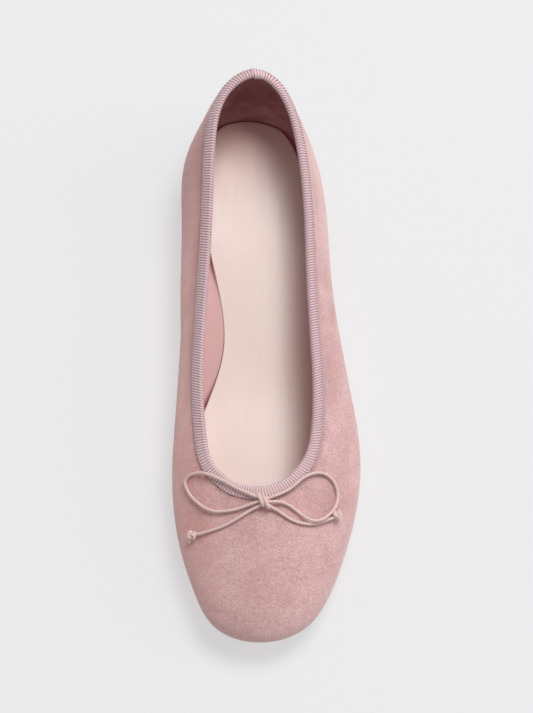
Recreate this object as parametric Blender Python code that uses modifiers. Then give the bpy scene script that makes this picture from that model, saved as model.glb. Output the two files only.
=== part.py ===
"""Ballet flat, left shoe, built the way a maker puts it together.

A hollow suede upper stands on a thin outsole with a low stacked heel. A folded tape binds the
topline, a sock covers the inside of the sole, and a thin round cord is tied in a bow at the throat.

Frame: metres, +Z up, heel towards +Y, toe towards -Y, the inner (medial) side towards -X.
The origin is on the floor, under the middle of the outline.
"""

from collections import namedtuple
from math import cos, pi, radians, sin

import bmesh
import bpy
import numpy as np
from mathutils import Vector

# Driving dimensions of the last and the shoe
LENGTH = 0.243
BALL_WIDTH = 0.080
HEEL_WIDTH = 0.059
VAMP_LENGTH = 0.0608        # toe tip to the front of the throat
BACK_LEAN_IN = 0.0054       # how far the topline leans in over the heel's bulge
THROAT_HEIGHT = 0.0388      # top of the throat above the floor
BACK_HEIGHT = 0.0565        # top of the heel above the floor

# Sole and heel
OUTSOLE = 0.0030
SOLE_MARGIN = 0.0015        # the outsole shows this much around the upper's lower edge
SOLE_BEVEL = 0.0006
TOE_SPRING = 0.0072
HEEL_HEIGHT = 0.0100
HEEL_LIFT = 0.0030
HEEL_TAPER = 0.0012
HEEL_LENGTH = 0.0610        # from the back of the outline to the heel's front face
BREAST_HOLLOW = 0.0040
BREAST_STEP = 0.0010        # level sole in front of the heel's front face
TREAD_BACK = -0.0200        # the forefoot's flat tread runs from here
TREAD_FRONT = -0.0600       # to here

# Upper, tape and sock
WALL = 0.0013
TAPE = 0.0006
TAPE_OUTSIDE = 0.0044       # how far the tape comes down outside
TAPE_INSIDE = 0.0040        # and inside
SOCK = 0.0020
SOCK_GAP = 0.0009           # between the wall's lower edge and the sock
GAP = 0.0003                # between pieces that rest on each other
FEATHER_RISE = radians(20)  # slope of the wall where it meets the sole

# Curves of the wall, as shares of the way that each bridges
LOW_HANDLE = 0.55           # handles of the curve below the widest point
LEVEL_REACH = 0.50          # handle at the topline, where the wall comes in level
UPRIGHT_REACH = 0.20        # and where it stands upright
REACH_BEND = 0.8
LEVEL_FULLNESS = 0.62       # handle above the widest point, where the wall comes in level
UPRIGHT_FULLNESS = 0.31     # and where it stands upright

# Where the local width goes over from the heel's to the ball's, as shares of the length
HEEL_WIDTH_TO = 0.32
BALL_WIDTH_FROM = -0.17

# Bow: a thin round cord, placed from the front of the throat
CORD = 0.0015
CORD_SPACING = 2.5          # points along a cord's tube, in diameters
KNOT = (0.0022, 0.0027, 0.0016)     # half sizes of the bow's knot
KNOT_PLACE = (-1.9, -5.7, 1.3)      # in millimetres, like the routes below
KNOT_TURN = radians(-20)
END_KNOT = 0.0019           # radius of the knot at the end of a tail
SHOULDER = radians(40)      # where the end knot's ball goes over into its neck
STUB = 0.0034               # cut end of the cord, from the middle of its knot

# Fineness of the solids
AROUND = 88
UPPER_ROWS = 12
ROW_CROWDING = 0.9          # under 1 the upper's rows lie closer together near the sole
SOLE_STATIONS = 34
OUTLINE_SAMPLES = 1440
HEEL_ARC = 25               # points of the heel's outline
BREAST_ARC = 9              # points of its front face, corners included
KNOT_SIDES = 12
KNOT_RINGS = 8
END_KNOT_SIDES = 10
SHARP = radians(40)

# One row for each rib of the last, from the back of the heel round the inner side to the toe and
# back along the outer side. wide_x and wide_y: the rib's widest point, as shares of the local
# width and of the length. top_x and along: the topline, as a share of the local width and a share
# of the way from the throat to the back of the topline. rise: the topline's height, 0 at the
# throat's and 1 at the back's. swell: height of the widest point, as a share of the wall.
# tuck: how far the wall turns in under the foot, as a share of the ball width. lean: slope of
# the wall at the topline, in degrees from level.
Rib = namedtuple("Rib", "name wide_x wide_y top_x along rise swell tuck lean")
RIBS = [
    Rib("heel back",            -0.090, 0.499, -0.076, 1.000, 1.00, 0.24, 0.094, 38),
    Rib("inner heel corner",    -0.352, 0.454, -0.275, 0.962, 0.93, 0.24, 0.062, 40),
    Rib("inner heel side",      -0.578, 0.364, -0.385, 0.855, 0.69, 0.25, 0.088, 44),
    Rib("inner quarter",        -0.596, 0.257, -0.403, 0.705, 0.38, 0.28, 0.115, 46),
    Rib("inner arch back",      -0.552, 0.146, -0.394, 0.549, 0.17, 0.35, 0.180, 46),
    Rib("inner arch front",     -0.504, 0.035, -0.382, 0.394, 0.07, 0.42, 0.214, 45),
    Rib("inner waist",          -0.487, -0.068, -0.366, 0.250, 0.00, 0.44, 0.140, 43),
    Rib("inner ball back",      -0.495, -0.154, -0.343, 0.146, -0.03, 0.40, 0.088, 38),
    Rib("inner ball",           -0.497, -0.245, -0.311, 0.071, -0.04, 0.35, 0.068, 30),
    Rib("inner toe side",       -0.461, -0.331, -0.250, 0.035, -0.04, 0.30, 0.062, 23),
    Rib("inner toe",            -0.388, -0.409, -0.193, 0.014, -0.03, 0.25, 0.058, 18),
    Rib("inner toe corner",     -0.285, -0.471, -0.134, 0.004, -0.01, 0.21, 0.056, 16),
    Rib("toe tip",              -0.050, -0.500, -0.063, 0.000, 0.00, 0.20, 0.056, 15),
    Rib("outer toe corner",      0.213, -0.471, 0.002, 0.003, -0.01, 0.21, 0.056, 16),
    Rib("outer toe",             0.340, -0.409, 0.063, 0.013, -0.03, 0.25, 0.058, 18),
    Rib("outer toe side",        0.427, -0.331, 0.127, 0.032, -0.04, 0.30, 0.062, 23),
    Rib("outer ball",            0.489, -0.245, 0.197, 0.072, -0.04, 0.35, 0.064, 30),
    Rib("outer ball back",       0.499, -0.154, 0.241, 0.135, -0.04, 0.38, 0.070, 40),
    Rib("outer waist",           0.474, -0.068, 0.263, 0.244, 0.00, 0.41, 0.086, 49),
    Rib("outer arch front",      0.449, 0.035, 0.270, 0.394, 0.07, 0.40, 0.104, 55),
    Rib("outer arch back",       0.441, 0.146, 0.282, 0.549, 0.16, 0.35, 0.104, 58),
    Rib("outer quarter",         0.452, 0.257, 0.288, 0.705, 0.38, 0.28, 0.094, 58),
    Rib("outer heel side",       0.380, 0.364, 0.229, 0.855, 0.69, 0.25, 0.086, 50),
    Rib("outer heel corner",     0.162, 0.454, 0.100, 0.963, 0.93, 0.24, 0.062, 42),
]

MM = 0.001
# The bow's routes, in millimetres from the front of the throat, each from the knot outwards; a
# loop comes back to the knot.
BOW_ROUTES = {
    "bow_loop_inner": [
        (-4.7, -4.0, 1.7), (-8.4, -2.4, 1.5), (-11.7, -0.9, 1.5), (-16.6, 1.8, 1.3),
        (-22.1, 4.8, 0.6), (-25.9, 6.4, -0.3), (-28.9, 7.3, -2.2), (-31.6, 7.2, -4.4),
        (-33.8, 6.3, -6.7), (-34.7, 4.5, -8.0), (-34.1, 1.9, -8.1), (-32.2, -1.7, -7.1),
        (-29.4, -4.8, -5.8), (-25.9, -7.6, -4.4), (-22.1, -9.0, -3.2), (-18.0, -9.1, -2.2),
        (-13.9, -8.6, -1.3), (-9.8, -7.4, -0.4), (-7.2, -6.6, 0.4), (-4.9, -5.9, 1.2),
    ],
    "bow_loop_outer": [
        (1.1, -3.9, 1.5), (3.8, -2.8, 0.9), (8.0, -0.7, 0.3), (11.3, 1.8, 0.1),
        (14.6, 4.6, -0.2), (18.0, 6.4, -1.0), (21.4, 7.3, -2.7), (24.6, 6.8, -4.7),
        (27.1, 5.0, -6.5), (28.8, 2.2, -8.1), (29.4, -1.0, -9.0), (28.8, -4.7, -8.8),
        (27.3, -7.7, -7.8), (24.7, -10.5, -6.4), (21.9, -12.3, -5.3), (18.5, -12.7, -4.4),
        (15.7, -11.6, -4.0), (13.0, -9.8, -3.6), (9.9, -7.6, -2.5), (6.6, -6.0, -1.1),
        (4.0, -5.6, 0.1), (1.3, -5.9, 1.1),
    ],
    "bow_tail_inner": [
        (-4.4, -7.7, 0.2), (-7.0, -8.8, -0.7), (-11.1, -11.1, -1.7), (-15.3, -13.4, -2.8),
        (-19.3, -15.2, -4.2), (-23.4, -16.4, -5.8), (-27.2, -17.2, -7.6), (-29.8, -17.6, -8.9),
    ],
    "bow_tail_outer": [
        (0.9, -7.8, 0.1), (3.9, -9.2, -1.5), (7.4, -11.4, -2.8), (11.3, -13.2, -4.0),
        (14.9, -13.9, -5.1), (18.6, -13.8, -6.3), (22.0, -12.9, -7.5), (24.8, -11.7, -8.4),
        (27.0, -10.7, -9.0),
    ],
}
# Where each tail's end knot sits and where its cut end points.
END_KNOTS = {
    "tail_knot_inner": ((-31.8, -17.8, -9.8), (-33.2, -20.1, -12.2)),
    "tail_knot_outer": ((28.9, -9.6, -9.4), (30.1, -7.2, -10.4)),
}

BREAST_Y = LENGTH / 2 - HEEL_LENGTH
THROAT = Vector((0.0, VAMP_LENGTH - LENGTH / 2, THROAT_HEIGHT))


def smooth(share):
    """Ease from 0 to 1 with level ends."""
    share = np.clip(share, 0.0, 1.0)
    return share * share * (3.0 - 2.0 * share)


def local_width(y):
    """The shoe's width scale at a place along it: the heel's behind, the ball's in front."""
    share = (HEEL_WIDTH_TO - y / LENGTH) / (HEEL_WIDTH_TO - BALL_WIDTH_FROM)
    return HEEL_WIDTH + (BALL_WIDTH - HEEL_WIDTH) * smooth(share)


def sole_bottom(y):
    """Height of the outsole's underside: heel seat, shank, flat tread and toe spring."""
    shank_top = BREAST_Y - BREAST_STEP
    shank = HEEL_HEIGHT * smooth((y - TREAD_BACK) / (shank_top - TREAD_BACK))
    toe_share = np.clip((TREAD_FRONT - y) / (TREAD_FRONT + LENGTH / 2), 0.0, None)
    return shank + TOE_SPRING * toe_share**2


def sole_top(y):
    return sole_bottom(y) + OUTSOLE


def spline_through(knots, values, bend, period=None):
    """The function of a cubic curve from its knots, its rows of values and their second slopes."""
    count = len(knots)

    def curve(where):
        if period:
            where = np.mod(where - knots[0], period) + knots[0]
        row = np.clip(np.searchsorted(knots, where, side="right") - 1, 0, len(bend) - 1)
        if not period:
            row = np.minimum(row, count - 2)
        after = (row + 1) % count
        width = np.mod(knots[after] - knots[row], period or np.inf)[:, None]
        far = (where - knots[row])[:, None] / width
        near = 1.0 - far
        curl = (near**3 - near) * bend[row] + (far**3 - far) * bend[after]
        return near * values[row] + far * values[after] + curl * width**2 / 6.0

    return curve


def closed_spline(knots, period, values):
    """A smooth closed curve through the rows of values, as a function."""
    count = len(knots)
    step = np.diff(np.append(knots, knots[0] + period))
    slopes = (np.roll(values, -1, axis=0) - values) / step[:, None]
    matrix = np.zeros((count, count))
    for row in range(count):
        matrix[row, row - 1] = step[row - 1]
        matrix[row, row] = 2.0 * (step[row - 1] + step[row])
        matrix[row, (row + 1) % count] = step[row]
    bend = np.linalg.solve(matrix, 6.0 * (slopes - np.roll(slopes, 1, axis=0)))
    return spline_through(knots, values, bend, period)


def open_spline(knots, values):
    """A smooth curve through the rows of values, straight at its two ends, as a function."""
    count = len(knots)
    step = np.diff(knots)
    slopes = np.diff(values, axis=0) / step[:, None]
    matrix = np.eye(count)
    target = np.zeros(values.shape)
    for row in range(1, count - 1):
        matrix[row, row - 1] = step[row - 1]
        matrix[row, row] = 2.0 * (step[row - 1] + step[row])
        matrix[row, row + 1] = step[row]
        target[row] = 6.0 * (slopes[row] - slopes[row - 1])
    return spline_through(knots, values, np.linalg.solve(matrix, target))


def last_columns():
    """The rib table turned into real sizes, one row for each rib."""
    rows = []
    back_y = LENGTH / 2 - BACK_LEAN_IN
    for rib in RIBS:
        wide_y = rib.wide_y * LENGTH
        top_y = THROAT.y + rib.along * (back_y - THROAT.y)
        rows.append([
            rib.wide_x * local_width(wide_y),
            wide_y,
            rib.top_x * local_width(top_y),
            top_y,
            THROAT_HEIGHT + rib.rise * (BACK_HEIGHT - THROAT_HEIGHT),
            rib.swell,
            rib.tuck * BALL_WIDTH,
            radians(rib.lean),
        ])
    return np.array(rows)


COLUMNS = last_columns()
STRIDES = np.linalg.norm(np.roll(COLUMNS, -1, axis=0)[:, :2] - COLUMNS[:, :2], axis=1)
PERIOD = STRIDES.sum()
KNOTS = np.concatenate([[0.0], np.cumsum(STRIDES)[:-1]])
LAST = closed_spline(KNOTS, PERIOD, COLUMNS)


def plan_inward(where):
    """Unit vectors that point inwards, square to the outline seen from above."""
    nudge = PERIOD / 2000
    along = LAST(where + nudge)[:, :2] - LAST(where - nudge)[:, :2]
    inward = np.column_stack([-along[:, 1], along[:, 0]])
    return inward / np.linalg.norm(inward, axis=1)[:, None]


def outline(where, inset=0.0):
    """The feather line, where the wall meets the sole, moved in by inset; plan points."""
    row = LAST(where)
    return row[:, :2] + plan_inward(where) * (row[:, 6] + inset)[:, None]


def bezier(points, share):
    """Cubic curve through four rows of control points, at a share of its way."""
    a, b, c, d = points
    rest = 1.0 - share
    return rest**3 * a + 3 * rest**2 * share * b + 3 * rest * share**2 * c + share**3 * d


def rib_points(where, lower=8, upper=48):
    """Points of each rib from the feather line up to the topline: array (ribs, points, 3)."""
    row = LAST(where)
    feather = outline(where)
    foot_z = sole_top(feather[:, 1]) + GAP
    wide_z = foot_z + row[:, 5] * (row[:, 4] - foot_z)
    foot = np.column_stack([feather, foot_z])
    wide = np.column_stack([row[:, :2], wide_z])
    top = np.column_stack([row[:, 2:4], row[:, 4]])

    up = np.array([0.0, 0.0, 1.0])
    out = wide - foot
    out[:, 2] = 0.0
    tuck = np.linalg.norm(out, axis=1)[:, None]
    out = out / tuck
    rise = (wide_z - foot_z)[:, None]
    below = [
        foot,
        foot + LOW_HANDLE * tuck * (out + up * np.tan(FEATHER_RISE)),
        wide - LOW_HANDLE * rise * up,
        wide,
    ]

    inward = top - wide
    inward[:, 2] = 0.0
    inward = inward / np.linalg.norm(inward, axis=1)[:, None]
    span = np.linalg.norm(top - wide, axis=1)[:, None]
    lean = row[:, 7][:, None]
    reach = LEVEL_REACH + (UPRIGHT_REACH - LEVEL_REACH) * np.sin(lean) ** REACH_BEND
    fullness = LEVEL_FULLNESS + (UPRIGHT_FULLNESS - LEVEL_FULLNESS) * np.sin(lean)
    above = [
        wide,
        wide + fullness * (top - wide)[:, 2:3] * up,
        top - reach * span * (inward * np.cos(lean) + up * np.sin(lean)),
        top,
    ]
    low = [bezier(below, share) for share in np.linspace(0, 1, lower, endpoint=False)]
    high = [bezier(above, share) for share in np.linspace(0, 1, upper)]
    return np.stack(low + high, axis=1)


def down_the_rib(where, depths):
    """Points of each rib at distances below the topline, measured along the wall."""
    ribs = rib_points(where)[:, ::-1]
    steps = np.linalg.norm(np.diff(ribs, axis=1), axis=2)
    walked = np.concatenate([np.zeros((len(ribs), 1)), np.cumsum(steps, axis=1)], axis=1)
    picked = [
        [[np.interp(depth, way, rib[:, axis]) for axis in range(3)] for depth in row_depths]
        for rib, way, row_depths in zip(ribs, walked, depths(walked[:, -1]))
    ]
    return np.array(picked)


def upper_depths(rib_lengths):
    """Distances below the topline of the upper's rows, close together near the topline."""
    near = np.array([0.0, TAPE_OUTSIDE / 2, TAPE_OUTSIDE])
    shares = np.linspace(0.0, 1.0, UPPER_ROWS - 1)[1:] ** ROW_CROWDING
    return [np.concatenate([near, TAPE_OUTSIDE + (full - TAPE_OUTSIDE) * shares])
            for full in rib_lengths]


def outward(points):
    """Unit normals of a closed band of points (around, down, 3), away from the foot."""
    around = np.roll(points, -1, axis=0) - np.roll(points, 1, axis=0)
    down = np.gradient(points, axis=1)
    normal = np.cross(down, around)
    return normal / np.linalg.norm(normal, axis=2)[:, :, None]


def to_linear(shade):
    """One sRGB channel, 0 to 255, as a linear value."""
    shade /= 255.0
    return shade / 12.92 if shade <= 0.04045 else ((shade + 0.055) / 1.055) ** 2.4


def material(name, rgb, roughness):
    made = bpy.data.materials.new(name)
    made.use_nodes = True
    shader = made.node_tree.nodes["Principled BSDF"]
    shader.inputs["Base Color"].default_value = (*[to_linear(shade) for shade in rgb], 1.0)
    shader.inputs["Roughness"].default_value = roughness
    shader.inputs["Metallic"].default_value = 0.0
    return made


def add(name, mesh_or_curve, finish):
    piece = bpy.data.objects.new(name, mesh_or_curve)
    piece.data.materials.append(finish)
    collection.objects.link(piece)
    return piece


def mesh_from(name, bm):
    """A smooth mesh, sharp only at its real edges."""
    mesh = bpy.data.meshes.new(name)
    bm.to_mesh(mesh)
    bm.free()
    mesh.shade_smooth()
    mesh.set_sharp_from_angle(angle=SHARP)
    return mesh


def closed_mesh(name, bm):
    """The same, with every face turned outwards first."""
    bmesh.ops.recalc_face_normals(bm, faces=bm.faces)
    return mesh_from(name, bm)


def loft_band(bm, rings):
    """Faces between rings of points; the last point of a ring joins its first."""
    grid = [[bm.verts.new(point) for point in ring] for ring in rings]
    for near, far in zip(grid[:-1], grid[1:]):
        for k in range(len(near)):
            after = (k + 1) % len(near)
            bm.faces.new([near[k], near[after], far[after], far[k]])
    return grid


def shell(name, rings, thickness, finish):
    """A closed band of surface, thickened behind its face. The rings run round the inner side
    first, from the lowest up, so that the face looks away from the foot."""
    bm = bmesh.new()
    loft_band(bm, rings)
    piece = add(name, mesh_from(name, bm), finish)
    solidify = piece.modifiers.new("wall", "SOLIDIFY")
    solidify.thickness = thickness
    solidify.offset = -1.0
    solidify.use_even_offset = True
    return piece


def sole_edges(inset):
    """Stations along a sole: y, inner x and outer x, close together at the round ends."""
    where = np.linspace(0.0, PERIOD, OUTLINE_SAMPLES, endpoint=False)
    ring = outline(where, inset)
    back = int(np.argmax(ring[:, 1]))
    ring = np.roll(ring, -back, axis=0)
    front = int(np.argmin(ring[:, 1]))
    inner = ring[:front + 1][::-1]
    outer = ring[front:]
    middle = (ring[0, 1] + ring[front, 1]) / 2
    half = (ring[0, 1] - ring[front, 1]) / 2
    turns = np.linspace(0.0, pi, SOLE_STATIONS + 1)[1:-1]
    stations = middle + half * np.cos(turns)
    return (
        stations,
        np.interp(stations, inner[:, 1], inner[:, 0]),
        np.interp(stations, outer[:, 1], outer[:, 0]),
        ring[0],
        ring[front],
    )


def sole_ring(inset, height):
    """A sole's closed outline at height(y): back tip, inner side, front tip, outer side."""
    y, inner, outer, back, front = sole_edges(inset)
    ring = [(back[0], back[1])] + list(zip(inner, y))
    ring += [(front[0], front[1])] + list(zip(outer[::-1], y[::-1]))
    return [(x, y, float(height(y))) for x, y in ring]


def sole_slab(name, layers, finish):
    """A slab that follows the shank: rings of the outline from the bottom up, closed by strips."""
    bm = bmesh.new()
    grid = loft_band(bm, layers)
    for ring in (grid[0], grid[-1]):
        count = len(ring)
        half = count // 2
        for k in range(half):
            corners = [ring[k], ring[k + 1], ring[(count - k - 1) % count], ring[(count - k) % count]]
            bm.faces.new(list(dict.fromkeys(corners)))
    return add(name, closed_mesh(name, bm), finish)


def prism(name, layers, finish):
    """A solid between flat rings of points, from the bottom up."""
    bm = bmesh.new()
    grid = loft_band(bm, layers)
    bm.faces.new(grid[0])
    bm.faces.new(grid[-1])
    return add(name, closed_mesh(name, bm), finish)


def make_upper():
    """The suede wall: from the sole's edge, round the swell of the last, to the topline."""
    where = np.linspace(0.0, PERIOD, AROUND, endpoint=False)
    points = down_the_rib(where, upper_depths)
    return shell("upper", list(points.transpose(1, 0, 2))[::-1], WALL, SUEDE)


def make_binding():
    """The folded tape over the topline: outside, over the edge and down inside."""
    where = np.linspace(0.0, PERIOD, AROUND, endpoint=False)
    reach = max(TAPE_OUTSIDE, TAPE_INSIDE)
    stations = np.array([0.0, 0.25, 0.5, 0.75, 1.0]) * reach
    band = down_the_rib(where, lambda lengths: [stations for _ in lengths])
    normals = outward(band)
    up_the_wall = band[:, 0] - band[:, 1]
    up_the_wall = up_the_wall / np.linalg.norm(up_the_wall, axis=1)[:, None]

    def beside(depth, offset):
        """Points beside the wall, at a depth below the topline and an offset outwards."""
        column = [[np.interp(depth, stations, line[:, axis]) for axis in range(3)] for line in band]
        facing = [[np.interp(depth, stations, line[:, axis]) for axis in range(3)] for line in normals]
        return np.array(column) + np.array(facing) * offset

    def over(height, offset):
        """Points over the edge, at a height above it and an offset outwards."""
        return band[:, 0] + up_the_wall * height + normals[:, 0] * offset

    skin = GAP + TAPE
    rings = [
        beside(TAPE_OUTSIDE, skin),
        beside(TAPE_OUTSIDE / 2, skin),
        beside(0.0, skin),
        over(skin * cos(pi / 4), skin * cos(pi / 4)),
        over(skin, -WALL / 2),
        over(skin * cos(pi / 4), -WALL - skin * cos(pi / 4)),
        beside(0.0, -WALL - skin),
        beside(TAPE_INSIDE / 2, -WALL - skin),
        beside(TAPE_INSIDE, -WALL - skin),
    ]
    return shell("topline_binding", rings, TAPE, TAPE_CLOTH)


def make_outsole():
    """The thin sole: feather outline plus a margin, with its lower edge bevelled."""
    def side(height):
        return lambda y: sole_bottom(y) + height
    layers = [
        sole_ring(SOLE_BEVEL - SOLE_MARGIN, side(0.0)),
        sole_ring(-SOLE_MARGIN, side(SOLE_BEVEL)),
        sole_ring(-SOLE_MARGIN, side(OUTSOLE)),
    ]
    return sole_slab("outsole", layers, SOLE_RUBBER)


def make_insole():
    """The sock on the sole, just inside the wall."""
    inset = WALL * sin(FEATHER_RISE) + SOCK_GAP
    layers = [
        sole_ring(inset, lambda y: sole_top(y) + GAP),
        sole_ring(inset, lambda y: sole_top(y) + GAP + SOCK),
    ]
    return sole_slab("insole", layers, SOCK_LEATHER)


def heel_ring(inset, height):
    """The heel's outline at a height: the sole's back end, closed by a hollow front face."""
    where = np.linspace(0.0, PERIOD, OUTLINE_SAMPLES, endpoint=False)
    ring = outline(where, inset - SOLE_MARGIN)
    behind = ring[ring[:, 1] > BREAST_Y]
    inner = behind[behind[:, 0] < ring[0, 0]]
    outer = behind[behind[:, 0] >= ring[0, 0]]
    arc = np.vstack([inner[np.argsort(inner[:, 1])], outer[np.argsort(-outer[:, 1])]])
    picked = arc[np.linspace(0, len(arc) - 1, HEEL_ARC).round().astype(int)]
    left, right = picked[0, 0], picked[-1, 0]
    across = np.linspace(right, left, BREAST_ARC)[1:-1]
    middle, half = (left + right) / 2, (right - left) / 2
    front = [(x, BREAST_Y + BREAST_HOLLOW * (1.0 - ((x - middle) / half) ** 2)) for x in across]
    return [(x, y, height) for x, y in list(map(tuple, picked)) + front]


def make_heel():
    """The low stacked heel and the lift under it."""
    seam_taper = HEEL_TAPER * (1.0 - HEEL_LIFT / HEEL_HEIGHT)
    block = [
        heel_ring(seam_taper, HEEL_LIFT + GAP / 2),
        heel_ring(0.0, HEEL_HEIGHT - GAP),
    ]
    lift = [
        heel_ring(HEEL_TAPER, 0.0),
        heel_ring(seam_taper, HEEL_LIFT - GAP / 2),
    ]
    prism("heel_block", block, HEEL_STACK)
    prism("heel_lift", lift, LIFT_RUBBER)


def make_cord(name, route):
    """A tube along a smooth curve through the route's points."""
    route = np.array(route) * MM
    walked = np.concatenate([[0.0], np.cumsum(np.linalg.norm(np.diff(route, axis=0), axis=1))])
    count = int(round(walked[-1] / (CORD_SPACING * CORD))) + 1
    line = open_spline(walked, route)(np.linspace(0.0, walked[-1], count))
    curve = bpy.data.curves.new(name, "CURVE")
    curve.dimensions = "3D"
    curve.bevel_depth = CORD / 2
    curve.bevel_resolution = 2
    curve.use_fill_caps = True
    curve.resolution_u = 1
    curve.render_resolution_u = 0
    spline = curve.splines.new("POLY")
    spline.points.add(count - 1)
    for point, place in zip(spline.points, line):
        point.co = (*place, 1.0)
    spline.use_smooth = True
    cord = add(name, curve, CORD_BRAID)
    cord.location = THROAT


def make_bow_knot():
    """The bow's knot, as a squashed ball across the cords that leave it."""
    bm = bmesh.new()
    bmesh.ops.create_uvsphere(bm, u_segments=KNOT_SIDES, v_segments=KNOT_RINGS, radius=1.0)
    bmesh.ops.scale(bm, vec=KNOT, verts=bm.verts)
    knot = add("bow_knot", mesh_from("bow_knot", bm), CORD_BRAID)
    knot.location = THROAT + Vector(KNOT_PLACE) * MM
    knot.rotation_euler = (0.0, 0.0, KNOT_TURN)


def make_end_knot(name, place, tip):
    """A tail's end knot with its short cut end: a turned bead with a neck."""
    place, tip = Vector(place) * MM, Vector(tip) * MM
    turns = np.linspace(pi, SHOULDER, 7)
    profile = [(END_KNOT * sin(turn), END_KNOT * cos(turn)) for turn in turns]
    profile += [(CORD / 2, END_KNOT), (CORD / 2, STUB), (0.0, STUB)]
    bm = bmesh.new()
    line = [bm.verts.new((radius, 0.0, height)) for radius, height in profile[::-1]]
    for start, end in zip(line[:-1], line[1:]):
        bm.edges.new([start, end])
    mesh = bpy.data.meshes.new(name)
    bm.to_mesh(mesh)
    bm.free()
    knot = add(name, mesh, CORD_BRAID)
    knot.location = THROAT + place
    knot.rotation_euler = (tip - place).to_track_quat("Z", "Y").to_euler()
    turned = knot.modifiers.new("turned", "SCREW")
    turned.steps = turned.render_steps = END_KNOT_SIDES
    turned.use_merge_vertices = True
    turned.merge_threshold = 0.00002


for old in list(bpy.data.objects):
    bpy.data.objects.remove(old, do_unlink=True)
collection = bpy.data.collections.new("ballet_flat")
bpy.context.scene.collection.children.link(collection)

SUEDE = material("suede", (207, 168, 166), 0.95)
TAPE_CLOTH = material("binding_tape", (198, 170, 171), 0.85)
SOCK_LEATHER = material("sock_leather", (236, 214, 208), 0.55)
SOLE_RUBBER = material("sole_rubber", (150, 118, 108), 0.70)
HEEL_STACK = material("heel_stack", (139, 103, 88), 0.60)
LIFT_RUBBER = material("lift_rubber", (96, 76, 70), 0.75)
CORD_BRAID = material("cord_braid", (226, 192, 188), 0.80)

make_upper()
make_binding()
make_outsole()
make_insole()
make_heel()
make_bow_knot()
for cord_name, cord_route in BOW_ROUTES.items():
    make_cord(cord_name, cord_route)
for knot_name, (knot_place, knot_tip) in END_KNOTS.items():
    make_end_knot(knot_name, knot_place, knot_tip)
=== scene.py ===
# %% [markdown]
# A ballet flat, from the frame to the finish. The frame is the shoe's construction: its solids have
# the true sizes, but they are plain. This lesson dresses them, one piece at a time, in the suede,
# woven tape, leather and cord that a maker would use. Every length is in metres, +Z is up, the
# heel lies towards +Y and the inner side of this left shoe towards -X.

# %% Load the frame
from math import cos, pi, radians, sin

import bpy
import numpy as np
from mathutils import Matrix, Vector


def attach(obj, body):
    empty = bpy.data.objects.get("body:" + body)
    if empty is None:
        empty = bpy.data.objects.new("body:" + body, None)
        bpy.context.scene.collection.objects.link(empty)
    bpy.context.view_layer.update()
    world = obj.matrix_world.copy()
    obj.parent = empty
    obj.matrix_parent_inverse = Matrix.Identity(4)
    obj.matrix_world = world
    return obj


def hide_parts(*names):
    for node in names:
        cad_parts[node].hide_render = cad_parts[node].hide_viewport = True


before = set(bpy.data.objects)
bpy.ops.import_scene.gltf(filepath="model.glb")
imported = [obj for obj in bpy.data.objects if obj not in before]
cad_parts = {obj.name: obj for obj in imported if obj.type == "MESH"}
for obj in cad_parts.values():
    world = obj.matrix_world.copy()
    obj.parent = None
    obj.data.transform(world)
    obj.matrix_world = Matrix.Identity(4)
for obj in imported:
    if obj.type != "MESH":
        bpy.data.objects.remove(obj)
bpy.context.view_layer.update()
MM = 0.001
MILLI = 1.0 / MM
print("frame:", len(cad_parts), "solids")


def placed(name, data):
    """A new object of the scene, with that mesh, light or camera."""
    made = bpy.data.objects.new(name, data)
    bpy.context.scene.collection.objects.link(made)
    return made


# %% [markdown]
# The camera comes first, because all that follows is judged through it. It stands 1.3 m away, over
# a point beside the shoe's inner side, and is tipped 15 degrees from straight above towards the
# toe. From that far a long lens keeps the outline free of swelling.

# %% Camera
PHOTO_HEIGHT = 713
PHOTO_FOCAL = 2600                          # the photograph's focal length, in its own pixels
CLOSER = 1.15                               # the shoe is shown this much larger than there
SENSOR = 36.0
TILT = radians(15)
DISTANCE = 1.3
stand_over = Vector((-0.0478, 0.0066, 0.0))  # beside the shoe, 49 mm towards its inner side
shoe_middle = Vector((0.0012, 0.0066, 0.0))

eye = stand_over + Vector((0.0, -sin(TILT), cos(TILT))) * DISTANCE
ahead = (shoe_middle - eye).normalized()
across = ahead.cross(Vector((0.0, cos(TILT), sin(TILT)))).normalized()
camera = placed("camera", bpy.data.cameras.new("camera"))
camera.data.sensor_width = SENSOR
camera.data.lens = SENSOR * PHOTO_FOCAL * CLOSER / PHOTO_HEIGHT
camera.matrix_world = Matrix.Translation(eye) @ Matrix(
    (across, across.cross(ahead), -ahead)).transposed().to_4x4()
bpy.context.scene.camera = camera
print("camera: lens", round(camera.data.lens, 1), "mm")

# %% [markdown]
# A surface is easiest to shape as a grid of points: rows of a numpy array that are moved about with
# sums and sines, then turned into faces in one go. A grid may close on itself one way, as a sole's
# edge does, or both ways, as the hollow wall of a shoe does, which is a stretched ring.
# Values worked out on the grid, such as how deep a point lies between two ribs of the tape, are
# kept on the mesh as attributes, so that a material can read them.

# %% Helpers for meshes
def unit(vectors):
    """The same vectors, one unit long."""
    return vectors / np.linalg.norm(vectors, axis=-1, keepdims=True)


def grid_faces(rows, columns, close_rows, close_columns):
    """Corner numbers of the quads between the points of a grid."""
    row = np.arange(rows if close_rows else rows - 1)[:, None]
    column = np.arange(columns if close_columns else columns - 1)[None, :]
    next_row, next_column = (row + 1) % rows, (column + 1) % columns
    corners = [row * columns + column, next_row * columns + column,
               next_row * columns + next_column, row * columns + next_column]
    return np.stack(np.broadcast_arrays(*corners), axis=-1).reshape(-1, 4)


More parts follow.
